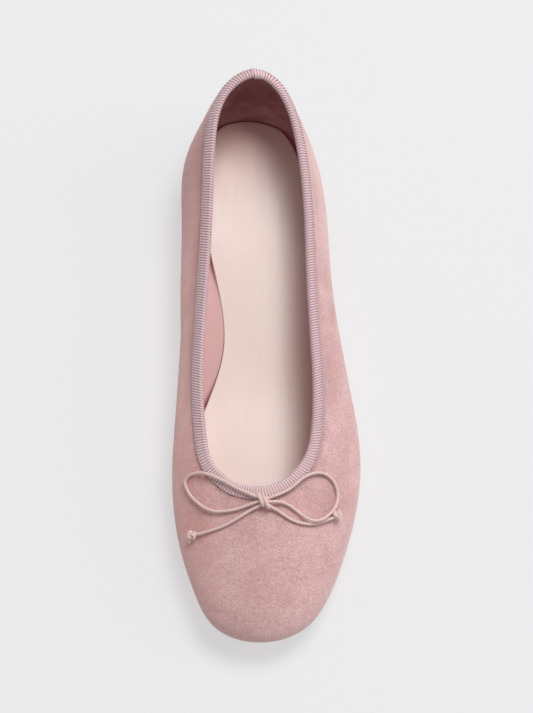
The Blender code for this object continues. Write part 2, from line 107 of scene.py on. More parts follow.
def build(name, points, faces, finish, values=None):
    """A mesh piece from points, faces, a material and values on its points."""
    mesh = bpy.data.meshes.new(name)
    mesh.from_pydata(points.reshape(-1, 3).tolist(), [], [list(face) for face in faces])
    for key, numbers in (values or {}).items():
        layer = mesh.attributes.new(key, "FLOAT", "POINT")
        layer.data.foreach_set("value", np.ascontiguousarray(numbers, np.float32).ravel())
    mesh.materials.append(finish)
    mesh.shade_smooth()
    mesh.validate()
    piece = placed(name, mesh)
    print(name + ":", len(mesh.polygons), "faces")
    return piece


def sheet(name, face, back, finish, values, turned=False):
    """A closed sheet of two grids, its face and its back. The values lie on the face and are 0 on
    the back. It is turned where the face looks inwards."""
    blank = np.zeros(back.shape[:2])
    section = np.concatenate([face, back], axis=1)
    layers = {key: np.concatenate([numbers, blank], axis=1) for key, numbers in values.items()}
    if turned:
        section = section[:, ::-1]
        layers = {key: layer[:, ::-1] for key, layer in layers.items()}
    return build(name, section, grid_faces(*section.shape[:2], True, True), finish, layers)


def settle(piece, slot, *nodes):
    """The piece rides on the shoe and stands for CAD nodes, which it hides. The slot is not used.
    """
    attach(piece, "root")
    if nodes:
        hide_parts(*nodes)
    return piece


def spline(knots, rows, period=None):
    """A smooth cubic curve through rows of values: closed if it has a period."""
    count = len(knots)
    step = np.diff(np.append(knots, knots[0] + period)) if period else np.diff(knots)
    slopes = (np.roll(rows, -1, axis=0) - rows)[:len(step)] / step[:, None]
    matrix, target = np.eye(count), np.zeros(rows.shape)
    for k in range(count) if period else range(1, count - 1):
        matrix[k, k - 1] = step[k - 1]
        matrix[k, k] = 2 * (step[k - 1] + step[k])
        matrix[k, (k + 1) % count] = step[k]
        target[k] = 6 * (slopes[k] - slopes[k - 1])
    bend = np.linalg.solve(matrix, target)

    def curve(where):
        where = np.mod(where - knots[0], period) + knots[0] if period else where
        k = np.clip(np.searchsorted(knots, where, side="right") - 1, 0, len(step) - 1)
        after, width = (k + 1) % count, step[k][:, None]
        far = (where - knots[k])[:, None] / width
        near = 1 - far
        curl = (near**3 - near) * bend[k] + (far**3 - far) * bend[after]
        return near * rows[k] + far * rows[after] + curl * width**2 / 6

    return curve


def round_trip(points):
    """At each point of a closed row, the step from the one before it to the one after it."""
    return np.roll(points, -1, axis=0) - np.roll(points, 1, axis=0)


def along_points(points):
    """How far along a line each of its points lies."""
    return np.concatenate([[0.0], np.cumsum(np.linalg.norm(np.diff(points, axis=0), axis=1))])


def even_line(points, step):
    """A smooth line through the points, with new points about a step apart."""
    walked = along_points(points)
    count = max(4, int(round(walked[-1] / step)))
    return spline(walked, points)(np.linspace(0, walked[-1], count))


# %% [markdown]
# A material starts from what the real one is. Its colours are written as the hex values that a
# painter would pick on screen, and one function turns them to the linear light that the shader
# adds up. One more adds a node with its settings and its links, and a few short ones after it name
# what a node is used for, so that a material reads from top to bottom like a recipe. All patterns
# are worked out in millimetres on the shoe itself.

# %% Helpers for materials
def colour(code):
    """An sRGB hex colour as linear red, green, blue and alpha."""
    shades = [int(code[k:k + 2], 16) / 255 for k in (1, 3, 5)]
    return [s / 12.92 if s <= 0.04045 else ((s + 0.055) / 1.055) ** 2.4 for s in shades] + [1.0]


def put(tree, kind, inputs, out=0, **settings):
    """Add one node. An input that is another node's socket is linked, and any other is set."""
    made = tree.nodes.new("ShaderNode" + kind)
    for key, value in settings.items():
        setattr(made, key, value)
    for key, value in inputs.items():
        if isinstance(value, bpy.types.NodeSocket):
            tree.links.new(value, made.inputs[key])
        else:
            made.inputs[key].default_value = value
    return made.outputs[out]


def mixed(tree, share, first, second):
    """A colour that goes from the first to the second with the share; a code or a socket each."""
    first, second = (colour(end) if isinstance(end, str) else end for end in (first, second))
    return put(tree, "Mix", {0: share, 6: first, 7: second}, out=2, data_type="RGBA")


def noise(tree, place, scale, detail=2.0, **more):
    """Cloudy noise with so many patches to the millimetre."""
    return put(tree, "TexNoise", {"Vector": place, "Scale": scale, "Detail": detail, **more},
               out="Fac")


def maths(tree, operation, *values):
    """One sum of numbers or sockets."""
    return put(tree, "Math", dict(enumerate(values)), operation=operation)


def spread(tree, value, start, end, most=1.0, least=0.0, **settings):
    """From least to most, as the value goes from the start to the end."""
    return put(tree, "MapRange", {0: value, 1: start, 2: end, 3: least, 4: most}, **settings)


def by_place(tree, place, axis, start, end, most=1.0, **settings):
    """From 0 to most between two places on an axis of the shoe, in millimetres."""
    return spread(tree, put(tree, "SeparateXYZ", {0: place}, out=axis), start, end, most,
                  **settings)


def kept(tree, name):
    """The value kept on the mesh under that name."""
    return put(tree, "Attribute", {}, out="Fac", attribute_name=name)


def bumps(tree, height, strength, deep):
    """A rough surface from a height; deep is in millimetres."""
    return put(tree, "Bump", {"Height": height, "Strength": strength, "Distance": deep * MM})


def start_material(name, **sockets):
    """A material with its shader's plain values set; returns it, its tree and its place in mm."""
    made = bpy.data.materials.new(name)
    made.use_nodes = True
    tree = made.node_tree
    shader = tree.nodes["Principled BSDF"]
    for key, value in sockets.items():
        shader.inputs[key.replace("_", " ")].default_value = value
    place = put(tree, "TexCoord", {}, out="Object")
    return made, tree, put(tree, "VectorMath", {0: place, "Scale": MILLI}, operation="SCALE")


def wear_on(tree, **sockets):
    """Link sockets to the inputs of the material's shader."""
    for key, socket in sockets.items():
        tree.links.new(socket, tree.nodes["Principled BSDF"].inputs[key.replace("_", " ")])


# %% [markdown]
# The bow is a thin round cord, 1.25 mm across, spun like a hat elastic: a soft core in a tight
# sheath of crossing threads. At this size the sheath only shows as a fine grain along the cord, so
# it is raised on the tube itself, threads a little coarser than the real ones so that they show.
# The cord is limp, has a matt cotton look with a soft sheen, and is a shade paler than the suede.

# %% Cord finish
cord_cotton, tree, place = start_material(
    "braided_cotton_cord", Roughness=0.78, Specular_IOR_Level=0.3, Sheen_Weight=0.35,
    Sheen_Roughness=0.4)
cotton = mixed(tree, noise(tree, place, 0.35), "#ebcfca", "#f2dcd7")
fluff = noise(tree, place, 4.0)
# Painted shade: the hollows between the braid's threads are painted darker.
wear_on(tree, Base_Color=mixed(tree, kept(tree, "thread"), "#d8b6b1", cotton),
        Normal=bumps(tree, fluff, 0.25, 0.05))

# %% [markdown]
# Each stretch of cord lies where the construction lays it: two loops that leave the knot and come
# back to it, and two tails that end in a knot of their own. A tube follows the same points,
# carried along with a frame that never twists, and the braid is two sets of threads that wind
# opposite ways and pass over and under each other.

# %% Cord tube
CORD = 1.25 * MM
CORD_SIDES = 24
THREADS = 6                                 # round the cord; half of them wind each way
BRAID_LAY = 2.6 * MM                        # the braid repeats twice in this length
BRAID_DEPTH = 0.020 * MM
THROAT = Vector((0.0, -0.0607, 0.0388))     # front of the topline, where the bow is placed from
UP = np.array([0.0, 0.0, 1.0])


def frames_along(line):
    """Side and up vectors that follow a line without twisting."""
    ahead = unit(np.gradient(line, axis=0))
    side = np.cross(ahead[0], UP)
    if np.linalg.norm(side) < 0.1:
        side = np.cross(ahead[0], [0.0, 1.0, 0.0])
    sides = [side]
    for direction in ahead[1:]:
        sides.append(sides[-1] - direction * np.dot(sides[-1], direction))
    sides = unit(np.array(sides))
    return sides, np.cross(sides, ahead)


def tube_grid(line, radii, braided=True):
    """Points of a tube round a line, and how much each point stands up in the braid."""
    sides, ups = frames_along(line)
    turn = np.linspace(0, 2 * pi, CORD_SIDES, endpoint=False)[None, :]
    walked = along_points(line)[:, None] * 2 * pi / BRAID_LAY
    left = np.cos(THREADS * turn / 2 + walked * 2)
    right = np.cos(THREADS * turn / 2 - walked * 2)
    thread = np.clip(0.5 + 0.5 * left * right + 0.25 * (left + right), 0, 1)
    reach = np.asarray(radii).reshape(-1, 1) + (thread - 0.5) * BRAID_DEPTH * braided
    ring = np.cos(turn)[..., None] * sides[:, None] + np.sin(turn)[..., None] * ups[:, None]
    return line[:, None] + ring * reach[..., None], thread


def tubes(name, runs, finish):
    """One piece of several closed tubes; each run is a line and its radius or radii."""
    points, faces, threads, start = [], [], [], 0
    for line, radii in runs:
        grid, thread = tube_grid(line, np.broadcast_to(radii, len(line)))
        size = grid.shape[0] * CORD_SIDES
        quads = grid_faces(grid.shape[0], CORD_SIDES, False, True) + start
        faces += quads.tolist()
        faces.append([start + k for k in range(CORD_SIDES)])
        faces.append([start + size - 1 - k for k in range(CORD_SIDES)])
        points.append(grid.reshape(-1, 3))
        threads.append(thread.ravel())
        start += size
    return build(name, np.vstack(points), faces, finish, {"thread": np.concatenate(threads)})


# %% Bow
BOW_ROUTES = {
    "bow_loop_inner": [
        (-4.7, -4.0, 1.7), (-8.4, -2.4, 1.5), (-11.7, -0.9, 1.5), (-16.6, 1.8, 1.3),
        (-22.1, 4.8, 0.6), (-25.9, 6.4, -0.3), (-28.9, 7.3, -2.2), (-31.6, 7.2, -4.4),
        (-33.8, 6.3, -6.7), (-34.7, 4.5, -8.0), (-34.1, 1.9, -8.1), (-32.2, -1.7, -7.1),
        (-29.4, -4.8, -5.8), (-25.9, -7.6, -4.4), (-22.1, -9.0, -3.2), (-18.0, -9.1, -2.2),
        (-13.9, -8.6, -1.3), (-9.8, -7.4, -0.4), (-7.2, -6.6, 0.4), (-4.9, -5.9, 1.2),
    ],
    "bow_loop_outer": [
        (1.1, -3.9, 1.5), (3.8, -2.8, 0.9), (8.0, -0.7, 0.3), (11.3, 1.8, 0.1),
        (14.6, 4.6, -0.2), (18.0, 6.4, -1.0), (21.4, 7.3, -2.7), (24.6, 6.8, -4.7),
        (27.1, 5.0, -6.5), (28.8, 2.2, -8.1), (29.4, -1.0, -9.0), (28.8, -4.7, -8.8),
        (27.3, -7.7, -7.8), (24.7, -10.5, -6.4), (21.9, -12.3, -5.3), (18.5, -12.7, -4.4),
        (15.7, -11.6, -4.0), (13.0, -9.8, -3.6), (9.9, -7.6, -2.5), (6.6, -6.0, -1.1),
        (4.0, -5.6, 0.1), (1.3, -5.9, 1.1),
    ],
    "bow_tail_inner": [
        (-4.4, -7.7, 0.2), (-7.0, -8.8, -0.7), (-11.1, -11.1, -1.7), (-15.3, -13.4, -2.8),
        (-19.3, -15.2, -4.2), (-23.4, -16.4, -5.8), (-27.2, -17.2, -7.6), (-29.8, -17.6, -8.9),
    ],
    "bow_tail_outer": [
        (0.9, -7.8, 0.1), (3.9, -9.2, -1.5), (7.4, -11.4, -2.8), (11.3, -13.2, -4.0),
        (14.9, -13.9, -5.1), (18.6, -13.8, -6.3), (22.0, -12.9, -7.5), (24.8, -11.7, -8.4),
        (27.0, -10.7, -9.0),
    ],
}
END_KNOTS = {
    "inner": ((-31.8, -17.8, -9.8), (-33.2, -20.1, -12.2)),
    "outer": ((28.9, -9.6, -9.4), (30.1, -7.2, -10.4)),
}
CORD_STEP = 0.2 * MM


def from_throat(points):
    """Points in millimetres from the throat, as points of the shoe in metres."""
    return np.array(points) * MM + np.array(THROAT)


# %% [markdown]
# A knot in a cord is a short path that winds over itself. The end knots are overhand knots, whose
# path is the trefoil: three lobes round the cord's line, drawn tight until the strands touch. The
# bow's own knot is the three strands that cross in it, held by two wraps of the same cord.

# %% Knots
LOBE = 0.50 * MM
KNOT_ALONG = 1.0 * MM
KNOT_STRAND = 0.74 * MM                     # the cord is squeezed a little in a knot
STUB_FLARE = 0.90 * MM
WRAP_STRAND = 0.88 * MM
WRAP_TURNS = 2.0
WRAP_PITCH = 2.2 * MM
WRAP_WIDE = 2.15 * MM
WRAP_HIGH = 1.45 * MM
KNOT_PLACE = (-1.9, -5.7, 1.3)
KNOT_TURN = radians(-20)
KNOT_PULL = 0.6                             # how far the strands are drawn to the knot's middle
KNOT_POINTS, STUB_POINTS, WRAP_POINTS = 90, 14, 120
KNOT_START, KNOT_END = 0.35, 2 * pi + 0.15  # the trefoil is open where its two ends leave it
WRAP_LEAN = radians(36)                     # the wraps lie aslant over the strands


def end_knot(side):
    """The overhand knot at the end of a tail, with its cut stub."""
    middle, tip = (from_throat(point) for point in END_KNOTS[side])
    axis = unit(tip - middle)
    wide = unit(np.cross(axis, UP))
    high = np.cross(wide, axis)
    turn = np.linspace(KNOT_START, KNOT_END, KNOT_POINTS)
    trefoil = (
        (np.sin(turn) + 2 * np.sin(2 * turn))[:, None] * wide * LOBE
        + (np.cos(turn) - 2 * np.cos(2 * turn))[:, None] * high * LOBE
        - np.sin(3 * turn)[:, None] * axis * KNOT_ALONG
    )
    share = np.linspace(0, 1, STUB_POINTS)
    stub = middle + share[:, None] * (tip - middle)
    flare = np.interp(share, [0, 0.75, 1], [CORD / 2, CORD / 2, STUB_FLARE])
    return tubes("tied_end_" + side, [(middle + trefoil, KNOT_STRAND), (stub, flare)],
                 cord_cotton)


def bow_knot():
    """The bow's knot: its wraps, and the strands that pass under them."""
    centre = from_throat(KNOT_PLACE)
    axis = np.array([cos(KNOT_TURN), sin(KNOT_TURN), 0.0])
    level = np.array([-sin(KNOT_TURN + WRAP_LEAN), cos(KNOT_TURN + WRAP_LEAN), 0.0])
    turn = np.linspace(-WRAP_TURNS * pi, WRAP_TURNS * pi, WRAP_POINTS)[:, None]
    wraps = (
        centre + axis * turn / (2 * pi) * WRAP_PITCH
        + level * np.cos(turn) * WRAP_WIDE + UP * np.sin(turn) * WRAP_HIGH
    )
    runs = [(wraps, WRAP_STRAND)]
    for kind, end in (("loop", 0), ("loop", -1), ("tail", 0)):
        left, right = (from_throat(BOW_ROUTES["bow_" + kind + "_" + side][end])
                       for side in ("inner", "outer"))
        middle = (left + right) / 2 * (1 - KNOT_PULL) + centre * KNOT_PULL
        runs.append((even_line(np.array([left, middle, right]), CORD_STEP), CORD / 2))
    return tubes("bow_knot_wraps", runs, cord_cotton)


settle(bow_knot(), "cord_braid", "bow_knot")
tail_knots = {side: settle(end_knot(side), "cord_braid", "tail_knot_" + side)
              for side in END_KNOTS}
for name, points in BOW_ROUTES.items():
    route = from_throat(points)
    tail = name.split("_")[2] if "tail" in name else None
    if tail:
        route = np.vstack([route, from_throat(END_KNOTS[tail][0])])
    line = even_line(route, CORD_STEP)
    piece = settle(tubes(name + "_cord", [(line, CORD / 2)], cord_cotton), "cord_braid", name)

# %% [markdown]
# Now the form that all the rest follows: the last. A shoe is described by ribs round its foot, each
# with its widest point, its point on the topline and how it turns in under the foot. A closed
# smooth curve runs through the numbers of the 24 ribs, so that a rib can be read off anywhere.
# The same ribs built the frame's solids, so what is made from them here fits the frame.

# %% The last
LENGTH, BALL_WIDTH, HEEL_WIDTH = 0.243, 0.080, 0.059
HEEL_WIDTH_TO, BALL_WIDTH_FROM = 0.32, -0.17
BACK_LEAN_IN = 5.4 * MM
BACK_HEIGHT = 0.0565
OUTSOLE = 3.0 * MM
SOLE_MARGIN = 1.5 * MM
TOE_SPRING = 7.2 * MM
HEEL_HEIGHT = 10.0 * MM
HEEL_LIFT = 3.0 * MM
BREAST_Y = LENGTH / 2 - 0.061               # the heel's front face
SHANK_TOP = BREAST_Y - 1.0 * MM
TREAD_BACK, TREAD_FRONT = -0.020, -0.060
GAP = 0.3 * MM
WALL = 1.3 * MM
SOCK = 2.0 * MM
TAPE_OUTSIDE = 4.4 * MM                     # how far the tape reaches down the wall
TAPE_INSIDE = 4.0 * MM
# wide_x, wide_y, top_x, along, rise, swell, tuck and lean of each rib, as in the construction:
# shares of the local width, the length, the topline's run and height, and degrees.
RIBS = np.array([
    (-0.090, 0.499, -0.076, 1.000, 1.00, 0.24, 0.094, 38),      # back of the heel
    (-0.352, 0.454, -0.275, 0.962, 0.93, 0.24, 0.062, 40),
    (-0.578, 0.364, -0.385, 0.855, 0.69, 0.25, 0.088, 44),
    (-0.596, 0.257, -0.403, 0.705, 0.38, 0.28, 0.115, 46),
    (-0.552, 0.146, -0.394, 0.549, 0.17, 0.35, 0.180, 46),
    (-0.504, 0.035, -0.382, 0.394, 0.07, 0.42, 0.214, 45),      # inner arch
    (-0.487, -0.068, -0.366, 0.250, 0.00, 0.44, 0.140, 43),
    (-0.495, -0.154, -0.343, 0.146, -0.03, 0.40, 0.088, 38),
    (-0.497, -0.245, -0.311, 0.071, -0.04, 0.35, 0.068, 30),    # inner ball
    (-0.461, -0.331, -0.250, 0.035, -0.04, 0.30, 0.062, 23),
    (-0.388, -0.409, -0.193, 0.014, -0.03, 0.25, 0.058, 18),
    (-0.285, -0.471, -0.134, 0.004, -0.01, 0.21, 0.056, 16),
    (-0.050, -0.500, -0.063, 0.000, 0.00, 0.20, 0.056, 15),     # toe tip
    (0.213, -0.471, 0.002, 0.003, -0.01, 0.21, 0.056, 16),
    (0.340, -0.409, 0.063, 0.013, -0.03, 0.25, 0.058, 18),
    (0.427, -0.331, 0.127, 0.032, -0.04, 0.30, 0.062, 23),
    (0.489, -0.245, 0.197, 0.072, -0.04, 0.35, 0.064, 30),      # outer ball
    (0.499, -0.154, 0.241, 0.135, -0.04, 0.38, 0.070, 40),
    (0.474, -0.068, 0.263, 0.244, 0.00, 0.41, 0.086, 49),
    (0.449, 0.035, 0.270, 0.394, 0.07, 0.40, 0.104, 55),        # outer waist
    (0.441, 0.146, 0.282, 0.549, 0.16, 0.35, 0.104, 58),
    (0.452, 0.257, 0.288, 0.705, 0.38, 0.28, 0.094, 58),
    (0.380, 0.364, 0.229, 0.855, 0.69, 0.25, 0.086, 50),
    (0.162, 0.454, 0.100, 0.963, 0.93, 0.24, 0.062, 42),
])


def smooth(share):
    """Ease from 0 to 1 with level ends."""
    share = np.clip(share, 0, 1)
    return share * share * (3 - 2 * share)


def local_width(y):
    """The width scale at a place along the shoe."""
    share = (HEEL_WIDTH_TO - y / LENGTH) / (HEEL_WIDTH_TO - BALL_WIDTH_FROM)
    return HEEL_WIDTH + (BALL_WIDTH - HEEL_WIDTH) * smooth(share)


def sole_bottom(y):
    """Height of the outsole's underside: heel seat, shank, flat tread and toe spring."""
    shank = HEEL_HEIGHT * smooth((y - TREAD_BACK) / (SHANK_TOP - TREAD_BACK))
    toe = np.clip((TREAD_FRONT - y) / (TREAD_FRONT + LENGTH / 2), 0, None)
    return shank + TOE_SPRING * toe**2


def sock_level(y):
    """Height of the sock's face, inside the shoe."""
    return sole_bottom(y) + OUTSOLE + GAP + SOCK


def last_rows():
    """The rib table in real sizes."""
    wide_x, wide_y, top_x, along, rise, swell, tuck, lean = RIBS.T
    wide_y = wide_y * LENGTH
    top_y = THROAT.y + along * (LENGTH / 2 - BACK_LEAN_IN - THROAT.y)
    top_z = THROAT.z + rise * (BACK_HEIGHT - THROAT.z)
    return np.column_stack([wide_x * local_width(wide_y), wide_y, top_x * local_width(top_y),
                            top_y, top_z, swell, tuck * BALL_WIDTH, np.radians(lean)])


rows = last_rows()
strides = np.linalg.norm(np.roll(rows, -1, axis=0)[:, :2] - rows[:, :2], axis=1)
PERIOD = strides.sum()                      # length round the last, along its widest points
RIB_PLACES = np.concatenate([[0.0], np.cumsum(strides)[:-1]])
LAST = spline(RIB_PLACES, rows, PERIOD)
print("last:", len(RIBS), "ribs, girth in plan", round(PERIOD * MILLI), "mm")

# %% [markdown]
# Each rib is two bending curves: one from the sole's edge out to the widest point, and one from
# there up to the topline. Walking down a rib from the topline gives the place of anything that
# is measured along the leather, such as the edge of the tape, 4.4 mm below the fold.

# %% Wall of the last
FEATHER_RISE = radians(20)
LOW_HANDLE = 0.55
LEVEL_REACH, UPRIGHT_REACH, REACH_BEND = 0.50, 0.20, 0.8
LEVEL_FULLNESS, UPRIGHT_FULLNESS = 0.62, 0.31


def plan_inward(where):
    """Unit vectors that point inwards, square to the outline seen from above."""
    nudge = PERIOD / 2000
    along = LAST(where + nudge)[:, :2] - LAST(where - nudge)[:, :2]
    return unit(np.column_stack([-along[:, 1], along[:, 0]]))


def outline(where, inset=0.0):
    """The line where the wall meets the sole, moved in by inset; plan points."""
    row = LAST(where)
    return row[:, :2] + plan_inward(where) * (row[:, 6] + inset)[:, None]


def bezier(points, share):
    """A point on the curve that four points bend."""
    a, b, c, d = points
    rest = 1 - share
    return rest**3 * a + 3 * rest**2 * share * b + 3 * rest * share**2 * c + share**3 * d


def rib_lines(where, lower=16, upper=60):
    """Points of each rib from the topline down to the sole's edge."""
    row = LAST(where)
    feather = outline(where)
    foot_z = sole_bottom(feather[:, 1]) + OUTSOLE + GAP
    wide_z = foot_z + row[:, 5] * (row[:, 4] - foot_z)
    foot = np.column_stack([feather, foot_z])
    wide = np.column_stack([row[:, :2], wide_z])
    top = np.column_stack([row[:, 2:4], row[:, 4]])
    out = (wide - foot) * [1, 1, 0]
    tuck = np.linalg.norm(out, axis=1)[:, None]
    below = [foot, foot + LOW_HANDLE * (out + tuck * UP * np.tan(FEATHER_RISE)),
             wide - LOW_HANDLE * (wide_z - foot_z)[:, None] * UP, wide]
    inward = unit((top - wide) * [1, 1, 0])
    span = np.linalg.norm(top - wide, axis=1)[:, None]
    lean = row[:, 7][:, None]
    reach = LEVEL_REACH + (UPRIGHT_REACH - LEVEL_REACH) * np.sin(lean) ** REACH_BEND
    fullness = LEVEL_FULLNESS + (UPRIGHT_FULLNESS - LEVEL_FULLNESS) * np.sin(lean)
    above = [wide, wide + fullness * (top - wide)[:, 2:3] * UP,
             top - reach * span * (inward * np.cos(lean) + UP * np.sin(lean)), top]
    low = [bezier(below, share) for share in np.linspace(0, 1, lower, endpoint=False)]
    high = [bezier(above, share) for share in np.linspace(0, 1, upper)]
    return np.stack(low + high, axis=1)[:, ::-1]


def wall_grid(where, depths):
    """Wall points at depths below the topline, walked along each rib, and their outward normals.
    depths(length) gives a rib's depths from its whole length."""
    picked, walks = [], []
    for line in rib_lines(where):
        walked = along_points(line)
        depth = depths(walked[-1])
        picked.append(np.column_stack([np.interp(depth, walked, line[:, k]) for k in range(3)]))
        walks.append(depth)
    grid = np.array(picked)
    normal = unit(np.cross(np.gradient(grid, axis=1), round_trip(grid)))
    return grid, normal, np.array(walks)


def girth(count):
    """Places round the last that divide the topline evenly."""
    fine = np.linspace(0, PERIOD, 2401)
    top = LAST(fine)[:, 2:5]
    walked = along_points(top)
    return np.interp(np.linspace(0, walked[-1], count, endpoint=False), walked, fine), walked[-1]


_, TOPLINE = girth(8)
print("topline:", round(TOPLINE * MILLI), "mm round")

# %% [markdown]
# Suede is the flesh side of a hide, buffed until its fibres stand up as a short nap. It throws
# almost no highlight. Its colour drifts where the nap has been stroked one way or the other, in
# patches half a centimetre to two centimetres wide, and close up it is mottled by tufts of fibre.
# Real tufts are usually about 0.3 mm and would be lost in the picture, so they are drawn about 1 mm
# wide, with finer fibres of 0.6 mm on them. The sheen is the pale bloom along the edges, where the
# light grazes the fibres' tips. Round the heel the colour is painted paler on the outer side, as
# painted light, and deeper on the inner side, as painted shade; along the inner side, which lies in
# shade, it is painted a warmer pink, the colour of that shade.

# %% Suede
suede, tree, place = start_material(
    "kid_suede", Roughness=0.96, Specular_IOR_Level=0.12, Sheen_Weight=0.75, Sheen_Roughness=0.50,
    Sheen_Tint=colour("#f6ddd9"))
patch = noise(tree, place, 0.055, Roughness=0.5, Distortion=0.6)
nap = noise(tree, place, 0.17, Roughness=0.6, Distortion=1.4)
tuft = noise(tree, place, 0.75, 3.0, Roughness=0.75, Distortion=1.0)
fibre = noise(tree, place, 1.7, Roughness=0.7)
soft = spread(tree, maths(tree, "MULTIPLY_ADD", nap, 0.7, patch), 0.66, 1.04)
mottle = spread(tree, tuft, 0.38, 0.62)
grain = spread(tree, fibre, 0.38, 0.62)
ground = mixed(tree, soft, "#d7a9a8", "#eec5c4")
tufted = mixed(tree, maths(tree, "MULTIPLY", mottle, 0.48), ground, "#f4d5d3")
shaded = mixed(tree, maths(tree, "MULTIPLY", grain, 0.54), tufted, "#b18483")
# Painted light and shade: the outer side of the heel is painted paler, its inner side deeper, and
# the shaded inner side a warmer pink.
heelwards = by_place(tree, place, "Y", 35.0, 90.0)
painted_light_outer_heel = maths(tree, "MULTIPLY", by_place(tree, place, "X", 8.0, 26.0, 0.45), heelwards)
painted_warm_shade_inner = by_place(tree, place, "X", -16.0, -36.0, 0.38)
painted_shade_inner_heel = maths(tree, "MULTIPLY", by_place(tree, place, "X", -8.0, -24.0, 0.55), heelwards)
with_painted_light = mixed(tree, painted_light_outer_heel, shaded, "#f3d9d6")
with_painted_warm_shade = mixed(tree, painted_warm_shade_inner, with_painted_light, "#eba79c")
# Painted shade: the inner side of the heel is painted deeper.
lower = mixed(tree, painted_shade_inner_heel, with_painted_warm_shade, "#a27476")
pile = maths(tree, "MULTIPLY_ADD", fibre, 0.5, tuft)
# Pressed nap and painted shade: darker beside the tape, at the sole and in the creases.
wear_on(tree, Base_Color=mixed(tree, kept(tree, "pressed_nap_and_shade"), lower, "#a87a79"),
        Normal=bumps(tree, pile, 0.8, 0.40))

# %% [markdown]
# The upper is one piece of suede, drawn over the last while damp, so it is smooth almost
# everywhere. What keeps it from looking moulded are the traces of that pull: a shallow trough
# beside the tape where the edge is drawn in, soft bulges along the inner side, and a dent or two.
# Each is listed: where it starts and ends, by the number of the rib and the share of the
# way down it, then how wide and how deep it is. They are shallow, so the light finds them and the
# outline doesn't change.

# %% Creases
# start rib, start share, end rib, end share, half width in mm, depth in mm; a ridge is negative
CREASES = [
    (3.2, 0.16, 4.6, 0.20, 3.2, 0.45),      # trough along the tape, inner quarter
    (4.4, 0.17, 6.2, 0.19, 3.0, 0.40),
    (2.2, 0.15, 3.1, 0.19, 2.6, 0.40),
    (3.0, 0.44, 4.8, 0.50, 5.5, -0.45),     # bulge over the inner arch
    (5.2, 0.46, 6.6, 0.40, 5.0, -0.35),
    (4.7, 0.30, 5.2, 0.66, 3.0, 0.28),      # draws that run down from the tape
    (3.6, 0.30, 3.9, 0.58, 2.6, 0.24),
    (6.4, 0.28, 6.9, 0.55, 3.0, 0.24),
    (19.2, 0.34, 19.6, 0.52, 2.6, 0.42),    # dent at the outer waist
    (19.5, 0.28, 20.3, 0.46, 3.2, -0.30),
    (17.6, 0.22, 18.8, 0.20, 3.4, 0.30),
    (20.6, 0.24, 21.9, 0.22, 3.0, 0.30),
    (22.6, 0.34, 23.5, 0.42, 4.0, 0.26),    # soft waves round the heel
    (0.4, 0.40, 1.5, 0.38, 4.0, 0.26),
    (8.6, 0.34, 9.8, 0.52, 5.0, 0.22),      # lasting waves beside the vamp
    (14.4, 0.40, 15.8, 0.46, 5.0, 0.22),
    (10.6, 0.30, 12.4, 0.22, 6.0, 0.20),
    (12.8, 0.24, 14.0, 0.34, 6.0, -0.18),
]
CREASE_ENDS, CREASE_CUT = 0.35, 0.04        # depth left at a crease's ends, and where it is cut
GATHER_PITCH = 6.5 * MM                     # the tape's stitches gather the suede into soft waves
GATHER_DEPTH = 0.13 * MM
GATHER_REACH = 9.0 * MM
GATHER_WANDER = ((0.9, 0.37, 1.3), (0.6, 0.21, 0.0))    # how far, how often, and from where
FEATHER_PLEAT = 0.10 * MM                   # tiny pleats where the suede turns under the toe
PLEAT_PITCH = 1.7 * MM
PLEAT_FROM = 0.93                           # share of the way down the wall
TOE_RUN = 0.03                              # they grow over this length, ahead of the tread


def rib_place(number):
    """The place round the last of a rib, given by its number, with shares between ribs."""
    places = np.append(RIB_PLACES, PERIOD)
    return np.interp(number % len(RIBS), np.arange(len(places)), places)


def relief(grid, walks, where):
    """How far the creases sink each wall point, in metres."""
    sunk = np.zeros(grid.shape[:2])
    for start, start_share, end, end_share, wide, deep in CREASES:
        ends = []
        for number, share in ((start, start_share), (end, end_share)):
            line = rib_lines(np.array([rib_place(number)]))[0]
            walked = along_points(line)
            ends.append([np.interp(share * walked[-1], walked, line[:, k]) for k in range(3)])
        first, run = np.array(ends[0]), np.array(ends[1]) - np.array(ends[0])
        share = np.clip(((grid - first) @ run) / (run @ run), 0, 1)
        away = np.linalg.norm(grid - first - share[..., None] * run, axis=2)
        bow = np.sin(pi * np.clip(share, CREASE_CUT, 1 - CREASE_CUT))
        taper = CREASE_ENDS + (1 - CREASE_ENDS) * bow
        sunk += deep * MM * taper * np.exp(-((away / (wide * MM)) ** 2))
    top = along_points(np.vstack([grid[:, 0], grid[:1, 0]]))[:-1, None]
    phase = top / GATHER_PITCH * 2 * pi
    wander = sum(far * np.sin(phase * often + start) for far, often, start in GATHER_WANDER)
    fade = np.exp(-np.clip(walks - TAPE_OUTSIDE, 0, None) / GATHER_REACH)
    sunk += GATHER_DEPTH * (0.5 + 0.5 * np.sin(phase + wander)) * fade
    toe = smooth((TREAD_FRONT - grid[..., 1]) / TOE_RUN)
    low = smooth((walks / walks[:, -1:] - PLEAT_FROM) / (1 - PLEAT_FROM))
    pleats = 0.5 + 0.5 * np.sin(where[:, None] / PLEAT_PITCH * 2 * pi)
    sunk += FEATHER_PLEAT * toe * low * pleats
    return sunk


# %% [markdown]
# The wall is a ring in section: suede outside, turned under at the sole, the lining inside. The
# suede skin and the lining are two pieces, as they are when the shoe is sewn. Both are grids that
# close both ways, so each is a sheet with a real thickness.

# %% Suede upper
SUEDE_THICK = 0.85 * MM
GIRTH_POINTS = 640
OUTSIDE_ROWS = 96
ROWS_CROWDED = 1.08                         # the rows lie a little closer together at the tape
